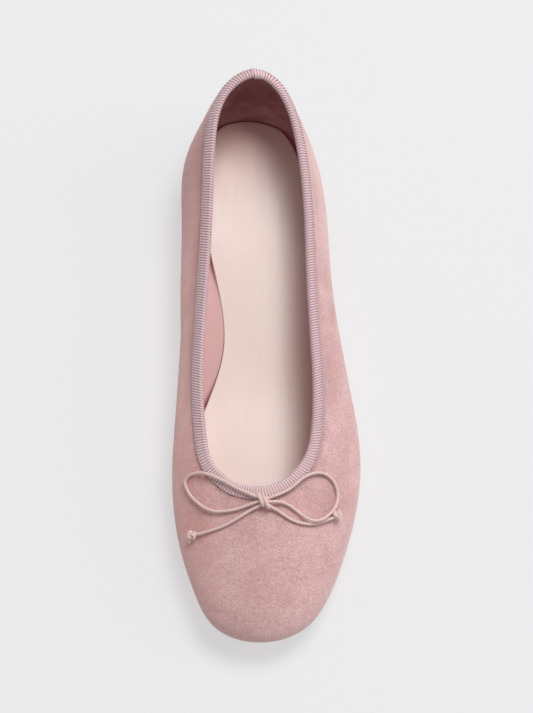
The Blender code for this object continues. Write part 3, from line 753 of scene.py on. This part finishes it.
# The nap is pressed down beside the tape, at the sole and in the creases, and painted shade darkens
# these troughs and creases too: how strongly each.
PRESS_SHADE_TAPE, PRESS_SHADE_SOLE, PRESS_SHADE_CREASE = 0.42, 0.5, 0.35
TAPE_PRESS_SHADE_MIDDLE, TAPE_PRESS_SHADE_REACH = 0.4 * MM, 1.3 * MM
SOLE_PRESS_SHADE_FROM = 0.955                     # share of the way down the wall
CREASE_PRESS_SHADE_DEPTH = 0.45 * MM

where = np.linspace(0, PERIOD, GIRTH_POINTS, endpoint=False)
outside, normal, walks = wall_grid(
    where, lambda length: length * np.linspace(0, 1, OUTSIDE_ROWS) ** ROWS_CROWDED)
sunk = relief(outside, walks, where)
skin = outside - normal * sunk[..., None]
under = outside - normal * SUEDE_THICK
beside_tape = np.exp(-((walks - TAPE_OUTSIDE - TAPE_PRESS_SHADE_MIDDLE) / TAPE_PRESS_SHADE_REACH) ** 2)
at_sole = smooth((walks / walks[:, -1:] - SOLE_PRESS_SHADE_FROM) / (1 - SOLE_PRESS_SHADE_FROM))
# Partly pressed nap, partly painted shade in the troughs and creases.
pressed_nap_and_shade = np.clip(PRESS_SHADE_TAPE * beside_tape + PRESS_SHADE_SOLE * at_sole
                  + PRESS_SHADE_CREASE * sunk / CREASE_PRESS_SHADE_DEPTH, 0, 1)
settle(sheet("suede_upper", skin, under[:, ::-4], suede, {"pressed_nap_and_shade": pressed_nap_and_shade}), "suede", "upper")

# %% [markdown]
# The lining is a thin microfibre in the suede's own pink, smooth and dull, glued to the back of the
# suede and turned over the topline under the tape. It shows at the inner side, above the sock, and
# round the heel, deep in shade. Padding lies behind it in both places, so its inner face isn't
# simply the wall's: it is filled out to a flatter curve at the heel, and by a soft cushion at the
# arch. Round the heel and along the outer side its colour is painted deeper and warmer, as painted
# shade. Along the sock a thin dark line of painted shadow marks the joint.

# %% Lining
lining_cloth, tree, place = start_material(
    "microfibre_lining", Roughness=0.88, Specular_IOR_Level=0.2, Sheen_Weight=0.2,
    Sheen_Roughness=0.5)
cloud = noise(tree, place, 0.12, 3.0)
felt = noise(tree, place, 2.4)
front_pink = mixed(tree, cloud, "#dfb4b2", "#e8c0be")
# Painted shade: round the heel and along the outer side the lining is painted a deeper, warmer
# pink.
painted_shade_pink = mixed(tree, spread(tree, cloud, 0.35, 0.65), "#92595a", "#b07c7b")
painted_shade_share = maths(tree, "MAXIMUM",
               by_place(tree, place, "Y", 66.0, 84.0, interpolation_type="SMOOTHSTEP"),
               by_place(tree, place, "X", 2.0, 16.0, interpolation_type="SMOOTHSTEP"))
pink_with_painted_shade = mixed(tree, painted_shade_share, front_pink, painted_shade_pink)
# Painted shadow: a thin dark line on the lining just above the sock, where the joint lies.
wear_on(tree, Base_Color=mixed(tree, kept(tree, "joint_shadow"), pink_with_painted_shade, "#8c4348"),
        Normal=bumps(tree, felt, 0.2, 0.1))
LINING_BACK = 0.80 * MM
# JOINT_SHADE is the height of the painted shadow line above the sock.
JOINT_SHADE = 1.05 * MM                     # height of the dark line above the sock
# Stiffener and padding behind the lining fill the round of the heel up to a flatter curve.
SEAT_BACK = 0.1095                          # how far back the sock shows
SEAT_FRONT = 0.05                           # the padding ends here
SEAT_MIDDLE = -0.0070
SEAT_ROUND = 30.0 * MM                      # radius of the curve
SEAT_CLEAR, SEAT_RUN = 2.0 * MM, 28.0 * MM  # it sets in below the tape, over this length
PADDING_BLEND = 1.2 * MM
ARCH_PADDING = 2.4 * MM                     # and the lining is fuller over the inner arch
ARCH_MIDDLE, ARCH_REACH = 0.013, 0.038
ARCH_RUN = 16.0 * MM


def lining_face(grid, normal, walks):
    """The lining's inner face: the wall's, moved in over the padding at heel and arch."""
    arch = np.exp(-(((grid[..., 1] - ARCH_MIDDLE) / ARCH_REACH) ** 2)) * (grid[..., 0] < 0)
    arch *= smooth((walks - TAPE_INSIDE) / ARCH_RUN)
    face = grid - normal * (WALL + ARCH_PADDING * arch)[..., None]
    limit = SEAT_BACK - (face[..., 0] - SEAT_MIDDLE) ** 2 / (2 * SEAT_ROUND)
    excess = face[..., 1] - limit
    filled = (excess + np.sqrt(excess**2 + PADDING_BLEND**2)) / 2
    low = smooth((walks - TAPE_INSIDE - SEAT_CLEAR) / SEAT_RUN)
    face[..., 1] -= filled * low * (face[..., 1] > SEAT_FRONT)
    return face


LINING_ROWS = 80
CROWDED = 1.8                               # the rows lie closer together near the sock
inner_grid, inner_normal, inner_walks = wall_grid(
    where[::2], lambda length: length * (1 - (1 - np.linspace(0, 1, LINING_ROWS)) ** CROWDED))
inner_face = lining_face(inner_grid, inner_normal, inner_walks)
inner_back = (inner_grid - inner_normal * LINING_BACK)[:, ::-3]
above_sock = inner_face[..., 2] - sock_level(inner_face[..., 1])
# Painted shadow of the joint, strongest right at the sock.
joint_shadow = np.exp(-(np.clip(above_sock / JOINT_SHADE, 0, None) ** 4))
settle(sheet("lining", inner_face, inner_back, lining_cloth, {"joint_shadow": joint_shadow}, turned=True),
       "suede")

# %% [markdown]
# The topline is bound with a folded grosgrain tape: a ribbon whose thick weft threads stand up as
# ribs across it. The ribs run slightly aslant, one way along the inner side and the other way along
# the outer, because the ribbon is drawn round a curve. Real ones usually stand about 0.7 mm apart;
# at two pixels a millimetre that would blur to grey, so they are 1.1 mm apart here. Ribs that fine
# are made as geometry, with a wave on a dense grid, and the same wave is kept as an attribute, so
# that the valleys can be painted darker than the crests, as painted shade.

# %% Tape finish
grosgrain, tree, place = start_material(
    "grosgrain_tape", Roughness=0.82, Specular_IOR_Level=0.25, Sheen_Weight=0.3,
    Sheen_Roughness=0.4, Sheen_Tint=colour("#efe0e4"))
silk = mixed(tree, noise(tree, place, 0.45), "#e9c9cb", "#f5dbdd")
# Painted shade: the tape is painted darker along the outer side of the shoe.
silk_painted_shade = mixed(tree, by_place(tree, place, "X", 4.0, 26.0, 0.30), silk, "#cca4a7")
# Painted shade: the valleys between the ribs are painted darker than the crests.
ribbed = mixed(tree, kept(tree, "crest"), "#9c767f", silk_painted_shade)
patchy = spread(tree, noise(tree, place, 1.1, 1.0), 0.35, 0.65, 1.8)
# Painted shade in the stitch holes and the gaps between the stitches, along the tape's outer edge.
gap = maths(tree, "MULTIPLY", kept(tree, "sewn_shade"), patchy)
warp = noise(tree, place, 3.2, 1.0)
wear_on(tree, Base_Color=mixed(tree, gap, ribbed, "#8a676e"),
        Normal=bumps(tree, warp, 0.3, 0.08))

# %% Topline tape
TAPE_POINTS = 2640
RIB_PITCH = 1.14 * MM
RIB_HEIGHT = 0.16 * MM
# How round a rib's crest is, where its middle lies, and how far up its sides the painted shade
# goes.
RIB_ROUND, RIB_LEVEL, RIB_SHADE = 0.8, 0.6, 1.8
RIB_SLANT = -0.32                           # drift of a rib along the edge for each width walked
SLANT_TURN = 1.4                            # above 1, it changes over quickly at toe and heel
TAPE_THICK = 0.50 * MM
TAPE_EDGE = 0.6 * MM                        # the ribs fade out this near the tape's edges
TAPE_STEPS, FOLD_STEPS, INNER_STEPS = 11, 9, 9
FOLD_RISE = 0.85 * MM
FOLD_LOW = 0.35                             # share of the rise that is there below the tape
TAPE_GAP = 0.05 * MM
FRONT_CALM = 0.3                            # how much weaker the painted valley shade is round the throat
CALM_FROM, CALM_RUN = 0.030, 0.025
# Painted shade of the stitch row: its middle and width, how dark it is, and how much less on a
# crest.
SEWN_MIDDLE, SEWN_WIDE, SEWN_DARK, SEWN_CREST = 0.7 * MM, 0.8 * MM, 0.55, 0.35

tape_where, _ = girth(TAPE_POINTS)
ribs_round = round(TOPLINE / RIB_PITCH)


def tape_surface(height):
    """The tape's surface at a height over the leather, along its whole fold."""
    down = np.linspace(TAPE_OUTSIDE, 0, TAPE_STEPS)[:-1]
    inside = np.linspace(0, TAPE_INSIDE, INNER_STEPS)[1:]
    depths = np.unique(np.concatenate([down, inside, [0.0]]))
    grid, facing, _ = wall_grid(tape_where, lambda length: depths)
    up = unit(grid[:, 0] - grid[:, 1])
    columns, outwards = [], []
    for k in np.searchsorted(depths, down):
        columns.append(grid[:, k] + facing[:, k] * height)
        outwards.append(facing[:, k])
    half = WALL / 2 + height
    rise = FOLD_RISE * (FOLD_LOW + (1 - FOLD_LOW) * height / TAPE_THICK)
    for angle in np.linspace(0, pi, FOLD_STEPS):
        columns.append(grid[:, 0] - facing[:, 0] * WALL / 2 + facing[:, 0] * cos(angle) * half
                       + up * sin(angle) * rise)
        outwards.append(facing[:, 0] * cos(angle) + up * sin(angle))
    for k in np.searchsorted(depths, inside):
        columns.append(grid[:, k] - facing[:, k] * (WALL + height))
        outwards.append(-facing[:, k])
    return np.stack(columns, axis=1), np.stack(outwards, axis=1)


face_grid, face_out = tape_surface(TAPE_THICK)
back_grid, _ = tape_surface(TAPE_GAP)
across_tape = along_points(face_grid[0])
from_edge = np.minimum(across_tape, across_tape[-1] - across_tape)
turns = np.arange(TAPE_POINTS)[:, None] / TAPE_POINTS * ribs_round
slant = RIB_SLANT * np.clip(SLANT_TURN * np.sin(2 * pi * turns / ribs_round), -1, 1)
phase = turns + across_tape[None, :] * slant / RIB_PITCH
wave = np.abs(np.cos(pi * phase)) ** RIB_ROUND
raised = (wave - RIB_LEVEL) * RIB_HEIGHT * smooth(from_edge / TAPE_EDGE)
face = face_grid + face_out * raised[..., None]
# Painted shade in the valleys, weaker round the throat, is carried by crest.
calm = 1 - FRONT_CALM * smooth((-face_grid[..., 1] - CALM_FROM) / CALM_RUN)
crest = 1 - (1 - wave**RIB_SHADE) * calm
# Painted shade of the stitch row near the tape's outer edge.
sewn_shade = np.exp(-((across_tape - SEWN_MIDDLE) / SEWN_WIDE) ** 2) * (SEWN_DARK - SEWN_CREST * wave)
settle(sheet("topline_tape", face, back_grid[:, ::-4], grosgrain, {"crest": crest, "sewn_shade": sewn_shade}),
       "binding_tape", "topline_binding")

# %% [markdown]
# The tape's two ends meet at the back of the heel. One is laid over the other and rises a little
# where it is folded under, which leaves a small step on the topline.

# %% Tape end
LAP_LENGTH = 6.5 * MM
LAP_RISE = 0.50 * MM
LAP_START = -1.2 * MM                       # its folded end, seen from the middle of the heel
LAP_SLANT = 1.2 * MM                        # the end is cut aslant
LAP_FRONT = 0.3 * MM                        # the folded end rises over this length
LAP_SINK, LAP_UNDER = 0.03 * MM, 0.08 * MM  # how far its face and its back lie in the tape
LAP_CREST = 0.6                             # its back is a middling shade
stride = TOPLINE / TAPE_POINTS
stations = np.arange(round(LAP_START / stride), round((LAP_START + LAP_LENGTH) / stride) + 1)
at_lap = -stations % TAPE_POINTS
run = (stations - stations[0])[:, None] * stride - LAP_SLANT * across_tape / across_tape[-1]
lap_lift = LAP_RISE * (1 - smooth(np.clip(run, 0, None) / (LAP_LENGTH - LAP_SLANT)))
lap_lift = np.where(run < -LAP_FRONT, 0.0, lap_lift) - LAP_SINK
lap_top = face[at_lap] + face_out[at_lap] * lap_lift[..., None]
lap_under = face[at_lap] - face_out[at_lap] * LAP_UNDER
lap = np.concatenate([lap_top, lap_under[:, ::-1]], axis=1)
lap_faces = grid_faces(*lap.shape[:2], False, True).tolist()
wide, last = lap_top.shape[1], (lap.shape[0] - 1) * lap.shape[1]
for k in range(wide - 1):
    cap = [k, k + 1, 2 * wide - 2 - k, 2 * wide - 1 - k]
    lap_faces += [cap[::-1], [last + corner for corner in cap]]
lap_crest = np.concatenate([wave[at_lap], np.full(wave[at_lap].shape, LAP_CREST)], axis=1)
tape_end = build("tape_end", lap, lap_faces, grosgrain, {
    "crest": lap_crest, "sewn_shade": np.zeros(lap_crest.shape)})
settle(tape_end, "binding_tape")

# %% [markdown]
# A zigzag stitch holds the tape's outer edge down. One pale thread jumps from the tape to the
# suede and back at every rib, a fine overlock that looks like small teeth. It is one long thread,
# so it is one thin tube that runs once round the topline.

# %% Edge stitches
stitch_thread, tree, place = start_material(
    "polyester_thread", Roughness=0.55, Specular_IOR_Level=0.45, Sheen_Weight=0.2)
shade = noise(tree, place, 0.9, 1.0)
twist = put(tree, "TexWave", {"Vector": place, "Scale": 1.6, "Distortion": 1.0}, out="Fac")
wear_on(tree, Base_Color=mixed(tree, shade, "#d9bcbc", "#ead3d2"),
        Normal=bumps(tree, twist, 0.3, 0.05))
STITCH_IN = 0.85 * MM                       # how far a stitch reaches over the tape
STITCH_OUT = 0.45 * MM                      # and out over the suede
THREAD = 0.17 * MM                          # half the thread's width
THREAD_SIDES = 6
POINTS_A_STITCH = 8
EDGE_STEP = 0.1 * MM                        # the thread steps down within this of the tape's edge
# Its height over the leather: in the tape, on the tape's edge, just beside it and in the suede.
THREAD_HEIGHTS = (TAPE_THICK + 0.02 * MM, TAPE_THICK + 0.20 * MM, 0.42 * MM, 0.0)
stitch_where, _ = girth(ribs_round * POINTS_A_STITCH)
stitch_depths = TAPE_OUTSIDE + np.array([-STITCH_IN, 0.0, STITCH_OUT])
stitch_grid, stitch_out, _ = wall_grid(stitch_where, lambda length: stitch_depths)
beat = np.arange(ribs_round * POINTS_A_STITCH) / POINTS_A_STITCH
swing = np.abs((beat % 1.0) * 2 - 1)
depth = TAPE_OUTSIDE + STITCH_OUT - swing * (STITCH_IN + STITCH_OUT)
over = np.interp(depth - TAPE_OUTSIDE, [-STITCH_IN, -EDGE_STEP, EDGE_STEP, STITCH_OUT],
                 THREAD_HEIGHTS)
thread_line = np.array([
    [np.interp(d, stitch_depths, stitch_grid[k, :, axis]) for axis in range(3)]
    for k, d in enumerate(depth)])
thread_line += stitch_out[:, 1] * over[:, None]
thread_ahead = unit(round_trip(thread_line))
thread_side = unit(np.cross(thread_ahead, stitch_out[:, 1]))
thread_up = np.cross(thread_side, thread_ahead)
ring = np.linspace(0, 2 * pi, THREAD_SIDES, endpoint=False)[None, :, None]
thread_tube = thread_line[:, None] + THREAD * (
    np.cos(ring) * thread_side[:, None] + np.sin(ring) * thread_up[:, None])
stitching = build("edge_stitches", thread_tube, grid_faces(*thread_tube.shape[:2], True, True),
                  stitch_thread)
settle(stitching, "binding_tape")

# %% [markdown]
# Two parts lie flat, the sock inside and the outsole below. Each is a slab with a shaped edge, made
# from one closed outline that is moved in or out from level to level down the edge. The outline is
# cut into stations from the heel to the toe, and rows of points across each station carry the two
# faces.

# %% Slabs from an outline
STATIONS = 300
COLUMNS = 44
WELD = 0.02 * MM                            # points nearer than this are joined


def ring_edges(ring):
    """Stations along a closed outline: y, inner x and outer x, with the two tips."""
    ring = np.roll(ring, -int(np.argmax(ring[:, 1])), axis=0)
    front = int(np.argmin(ring[:, 1]))
    inner, outer = ring[:front + 1][::-1], ring[front:]
    turns = np.linspace(0, pi, STATIONS + 2)[1:-1]
    y = (ring[0, 1] + ring[front, 1]) / 2 + (ring[0, 1] - ring[front, 1]) / 2 * np.cos(turns)
    left = np.interp(y, inner[:, 1], inner[:, 0])
    right = np.interp(y, outer[:, 1], outer[:, 0])
    y = np.concatenate([[ring[0, 1]], y, [ring[front, 1]]])
    left = np.concatenate([[ring[0, 0]], left, [ring[front, 0]]])
    right = np.concatenate([[ring[0, 0]], right, [ring[front, 0]]])
    return y, left, right


def moved_in(ring, inset):
    """A closed plan outline moved inwards."""
    along = round_trip(ring)
    inward = unit(np.column_stack([-along[:, 1], along[:, 0]]))
    return ring + inward * inset


def slab(name, ring, levels, top, bottom, finish):
    """A slab from its outline: levels are (inset, height(x, y)) from the top edge down; top and
    bottom give the heights of the two faces."""
    shares = (1 - np.cos(np.linspace(0, pi, COLUMNS))) / 2
    edges = [(ring_edges(moved_in(ring, inset)), height) for inset, height in levels]

    def cap(edge, height):
        y, left, right = edge
        x = left[:, None] + (right - left)[:, None] * shares
        spread = np.broadcast_to(y[:, None], x.shape)
        return np.stack([x, spread, height(x, spread)], axis=-1)

    def side(edge, height, which):
        y, left, right = edge
        x = (left, right)[which]
        return np.stack([x, y, height(x, y)], axis=-1)[:, None]

    loop = [cap(edges[0][0], top)]
    loop += [side(*edge, 1) for edge in edges]
    loop += [cap(edges[-1][0], bottom)[:, ::-1]]
    loop += [side(*edge, 0) for edge in edges[::-1]]
    section = np.concatenate(loop, axis=1)
    piece = build(name, section, grid_faces(*section.shape[:2], False, True), finish)
    piece.modifiers.new("weld", "WELD").merge_threshold = WELD
    return piece


# %% [markdown]
# The sock is a thin padded leather that covers the inside of the sole, edge to edge. It is a fine
# sheepskin, dyed pale and rolled smooth, so its highlight is soft but there. The stretch marks
# along it are a noise drawn out ten times in the shoe's length. Towards the heel and the outer side
# it is painted deeper and warmer, as painted shade with the warm light that the pink lining throws
# into it. Its edge is read off the wall: the point of each rib where the inner face reaches the
# sock's height. A round edge leaves the thin dark joint that runs round the inside of a real shoe.

# %% Sock
sock_leather, tree, place = start_material(
    "sheepskin_sock", Roughness=0.50, Specular_IOR_Level=0.35, Coat_Weight=0.06,
    Coat_Roughness=0.35)
drawn = put(tree, "VectorMath", {0: place, 1: (1.0, 0.10, 1.0)}, operation="MULTIPLY")
streak = noise(tree, drawn, 0.55, 4.0, Roughness=0.6)
pore = put(tree, "TexVoronoi", {"Vector": place, "Scale": 1.5}, out="Distance")
pale = mixed(tree, noise(tree, place, 0.045), "#fae9e1", "#fdf1ea")
grained = mixed(tree, maths(tree, "MULTIPLY", streak, 0.18), pale, "#dcc1b9")
# Painted shade: deeper and warmer towards the outer side and the heel, with the warm light from the
# lining.
painted_warm_shade = maths(tree, "MAXIMUM", by_place(tree, place, "X", 6.0, 26.0, 0.9),
             by_place(tree, place, "Y", 70.0, 106.0, 0.8))
skin_height = maths(tree, "MULTIPLY_ADD", streak, 0.8, pore)
wear_on(tree, Base_Color=mixed(tree, painted_warm_shade, grained, "#e3b6b0"),
        Roughness=spread(tree, streak, 0.3, 0.7, 0.58, least=0.44),
        Normal=bumps(tree, skin_height, 0.18, 0.10))

SOCK_JOINT = 0.18 * MM
SOCK_ROUND = 0.5 * MM
SOCK_UNDERCUT = 1.2 * MM                    # its underside is this much smaller all round
SOCK_WAVES = 0.10 * MM                      # the face is uneven, as padding under leather is
RING_POINTS = 1440
LOW_FROM, LOW_ROWS = 0.55, 46               # the sock meets the wall below this share of a rib
ring_where = np.linspace(0, PERIOD, RING_POINTS, endpoint=False)
low_grid, low_normal, low_walks = wall_grid(
    ring_where, lambda length: length * np.linspace(LOW_FROM, 1, LOW_ROWS))
face_line = lining_face(low_grid, low_normal, low_walks)


def sock_ring():
    """Where the wall's inner face reaches the sock's height, in plan."""
    places = []
    for line in face_line:
        above = line[:, 2] - sock_level(line[:, 1])
        k = int(np.argmax(above < 0)) or len(line) - 1
        share = np.clip(above[k - 1] / (above[k - 1] - above[k]), 0, 1)
        places.append(line[k - 1, :2] + share * (line[k, :2] - line[k - 1, :2]))
    return np.array(places)


def sock_side(drop):
    """The sock's face, with its unevenness, moved down by drop."""
    return lambda x, y: (
        sock_level(y) + SOCK_WAVES * (np.sin(x * 190 + 0.6) * np.sin(y * 95 + 1.1)) - drop)


round_off = [(SOCK_JOINT + SOCK_ROUND * (1 - cos(turn)), SOCK_ROUND * (1 - sin(turn)))
             for turn in np.linspace(pi / 2, 0, 6)]
sock_levels = [(inset, sock_side(drop)) for inset, drop in round_off]
sock_levels.append((SOCK_UNDERCUT, sock_side(SOCK)))
sock = slab("leather_sock", sock_ring(), sock_levels, sock_side(0.0), sock_side(SOCK), sock_leather)
settle(sock, "sock_leather", "insole")

# %% [markdown]
# The outsole is moulded rubber, 3 mm thick, in a brownish rose a little deeper than the suede. Its
# edge is trimmed and buffed, with one fine line moulded round it. Underneath, shallow waves
# across the forefoot give it grip; they are cut into the rubber, so the tread still stands flat.

# %% Outsole
sole_rubber, tree, place = start_material(
    "moulded_rubber_sole", Roughness=0.62, Specular_IOR_Level=0.4)
dust = noise(tree, place, 0.10, 4.0)
matt = noise(tree, place, 1.8, 3.0)
wear_on(tree, Base_Color=mixed(tree, dust, "#a5857b", "#b39188"),
        Roughness=spread(tree, dust, 0.3, 0.7, 0.72, least=0.55),
        Normal=bumps(tree, matt, 0.25, 0.1))
WAVE_PITCH = 3.6 * MM
WAVE_DEPTH = 0.45 * MM
WAVE_BEND, WAVE_SWAY = 1.6 * MM, 6.0 * MM   # it winds this far, once in 2 pi times this width
WAVES_BACK, WAVES_FRONT = -0.008, -0.108
WAVES_FADE = 1.5 * MM
TREAD_BORDER, BORDER_FADE = 0.84, 0.05      # shares of the sole's half width
SOLE_LINE = 0.16 * MM                       # depth of the line round the edge


def tread(x, y):
    """The underside, with grip waves inside a plain border."""
    width = np.maximum(np.max(np.abs(x), axis=1, keepdims=True), 1.0 * MM)
    centred = (x - x.mean(axis=1, keepdims=True)) / width
    inside = smooth((TREAD_BORDER - np.abs(centred)) / BORDER_FADE)
    ahead = smooth((WAVES_BACK - y) / WAVES_FADE) * smooth((y - WAVES_FRONT) / WAVES_FADE)
    wave = 0.5 + 0.5 * np.sin((y + WAVE_BEND * np.sin(x / WAVE_SWAY)) / WAVE_PITCH * 2 * pi)
    return sole_bottom(y) + WAVE_DEPTH * smooth(wave * 1.6 - 0.5) * inside * ahead


def sole_side(height):
    """A level of the sole's edge, at a height over its underside."""
    return lambda x, y: sole_bottom(y) + height


sole_levels = [(inset * MM, sole_side(height * MM)) for inset, height in (
    (-1.15, 3.0), (-1.4, 2.92), (-1.5, 2.7), (-1.5, 1.95), (-1.5 + SOLE_LINE * MILLI, 1.8),
    (-1.5, 1.65), (-1.5, 0.65), (-1.38, 0.3), (-1.15, 0.1), (-0.9, 0.0))]
sole = slab("rubber_outsole", outline(ring_where), sole_levels, sole_side(OUTSOLE), tread,
            sole_rubber)
settle(sole, "sole_rubber", "outsole")

# %% [markdown]
# The heel is low, a stack of leather board slices pressed and stained, with a rubber top piece that
# takes the wear. The slices show as fine level lines and as slightly different browns. Its
# outline is the sole's own back end, closed in front by a shallow hollow curve.

# %% Heel finishes
stacked_leather, tree, place = start_material(
    "stacked_leather_heel", Roughness=0.48, Specular_IOR_Level=0.4, Coat_Weight=0.10,
    Coat_Roughness=0.4)
height = put(tree, "SeparateXYZ", {0: place}, out="Z")
layers = put(tree, "TexNoise", {"W": height, "Scale": 0.9, "Detail": 3.0}, out="Fac",
             noise_dimensions="1D")
flow = put(tree, "VectorMath", {0: place, 1: (0.35, 0.35, 2.5)}, operation="MULTIPLY")
fibres = noise(tree, flow, 0.8, 4.0)
board = mixed(tree, layers, "#85604f", "#a17c69")
wear_on(tree, Base_Color=mixed(tree, maths(tree, "MULTIPLY", fibres, 0.4), board, "#6f4d3f"),
        Normal=bumps(tree, fibres, 0.25, 0.1))
lift_rubber, tree, place = start_material("nitrile_top_piece", Roughness=0.7,
                                          Specular_IOR_Level=0.35)
speck = noise(tree, place, 1.5, 3.0)
checks = put(tree, "TexChecker", {"Vector": place, "Scale": 0.7}, out="Fac")
wear_on(tree, Base_Color=mixed(tree, speck, "#5b4640", "#6d564f"),
        Normal=bumps(tree, checks, 0.2, 0.1))

# %% Heel
HEEL_TAPER = 1.2 * MM
BREAST_HOLLOW = 4.0 * MM
SLICES = 3
SLICE_LINE = 0.14 * MM                      # depth of the line between two slices
SLICE_BEVEL = 0.15 * MM
SLICE_GAP, TOP_GAP = 0.02 * MM, 0.01 * MM
ARC_POINTS, FRONT_POINTS = 150, 42
HEEL_CREASE = radians(35)                   # edges that turn more than this stay sharp


def heel_ring(inset, height):
    """The heel's outline: the sole's back end, closed by a hollow front face."""
    ring = outline(ring_where, inset - SOLE_MARGIN)
    behind = ring[ring[:, 1] > BREAST_Y]
    inner = behind[behind[:, 0] < ring[0, 0]]
    outer = behind[behind[:, 0] >= ring[0, 0]]
    arc = np.vstack([inner[np.argsort(inner[:, 1])], outer[np.argsort(-outer[:, 1])]])
    picked = arc[np.linspace(0, len(arc) - 1, ARC_POINTS).round().astype(int)]
    left, right = picked[0, 0], picked[-1, 0]
    front_x = np.linspace(right, left, FRONT_POINTS)[1:-1]
    middle, half = (left + right) / 2, (right - left) / 2
    front_y = BREAST_Y + BREAST_HOLLOW * (1 - ((front_x - middle) / half) ** 2)
    ring = np.vstack([picked, np.column_stack([front_x, front_y])])
    return np.column_stack([ring, np.full(len(ring), height)])


def heel_piece(name, levels, finish):
    """A solid of flat rings, from the bottom up, closed by two faces."""
    rings = np.stack([heel_ring(inset, height) for inset, height in levels])
    faces = grid_faces(*rings.shape[:2], False, True)[:, ::-1].tolist()
    count = rings.shape[1]
    faces.append(list(range(count)))
    faces.append([len(levels) * count - 1 - k for k in range(count)])
    piece = build(name, rings, faces, finish)
    piece.data.set_sharp_from_angle(angle=HEEL_CREASE)
    return piece


def taper(height):
    """How far the heel is drawn in at a height."""
    return HEEL_TAPER * (1 - height / HEEL_HEIGHT)


block_levels = []
slice_height = (HEEL_HEIGHT - HEEL_LIFT - GAP) / SLICES
for k in range(SLICES):
    low = HEEL_LIFT + GAP / 2 + k * slice_height
    high = low + slice_height - (TOP_GAP if k == SLICES - 1 else 0.0)
    block_levels += [(taper(low) + SLICE_LINE, low), (taper(low), low + SLICE_BEVEL),
                     (taper(high), high - SLICE_BEVEL),
                     (taper(high) + SLICE_LINE, high - SLICE_GAP)]
block = heel_piece("stacked_heel", block_levels, stacked_leather)
settle(block, "heel_stack", "heel_block")
lift = heel_piece("top_piece", [
    (HEEL_TAPER + 0.4 * MM, 0.0), (HEEL_TAPER + 0.1 * MM, 0.12 * MM), (HEEL_TAPER, 0.4 * MM),
    (taper(HEEL_LIFT), HEEL_LIFT - 0.25 * MM), (taper(HEEL_LIFT) + 0.1 * MM, HEEL_LIFT - GAP / 2),
], lift_rubber)
settle(lift, "lift_rubber", "heel_lift")

# %% [markdown]
# The shoe stands on a table of opal acrylic that is lit from below, so it glows a little and its
# shadow stays soft. One big soft light stands high behind the heel, somewhat to the outer side: the
# outer side is bright, the inner side falls into a soft shade and the inside of the heel is dark. A
# weaker one stands low at the outer side, and a pale sky fills the shadows.

# %% Stage and light
FLOOR = 3.0                                 # half the table's width
SKY = 0.38
# Name, place, size in metres and power in watts of each.
LIGHTS = (("key", (0.83, 1.55, 3.70), 1.70, 109.0), ("side", (3.01, 0.45, 1.51), 1.80, 20.0))
corners = [(-FLOOR, -FLOOR, 0), (FLOOR, -FLOOR, 0), (FLOOR, FLOOR, 0), (-FLOOR, FLOOR, 0)]
floor_mesh = bpy.data.meshes.new("floor")
floor_mesh.from_pydata(corners, [], [(0, 1, 2, 3)])
floor = placed("floor", floor_mesh)
table_top, tree, place = start_material(
    "opal_acrylic_table", Roughness=0.95, Specular_IOR_Level=0.1, Emission_Strength=0.54,
    Emission_Color=colour("#fdfdff"))
wear_on(tree, Base_Color=mixed(tree, noise(tree, place, 0.02), "#979898", "#999999"))
floor_mesh.materials.append(table_top)


def softbox(name, place, size, power):
    """A square area light that looks at the shoe."""
    data = bpy.data.lights.new(name, "AREA")
    data.shape = "SQUARE"
    data.size = size
    data.energy = power
    data.color = colour("#fffefd")[:3]
    box = placed(name, data)
    box.location = place
    box.rotation_euler = (-Vector(place)).to_track_quat("-Z", "Y").to_euler()


for light in LIGHTS:
    softbox(*light)
world = bpy.data.worlds.new("sky")
world.use_nodes = True
sky = world.node_tree.nodes["Background"]
sky.inputs["Color"].default_value = colour("#f6f7f8")
sky.inputs["Strength"].default_value = SKY
bpy.context.scene.world = world
bpy.context.scene.view_settings.view_transform = "Standard"
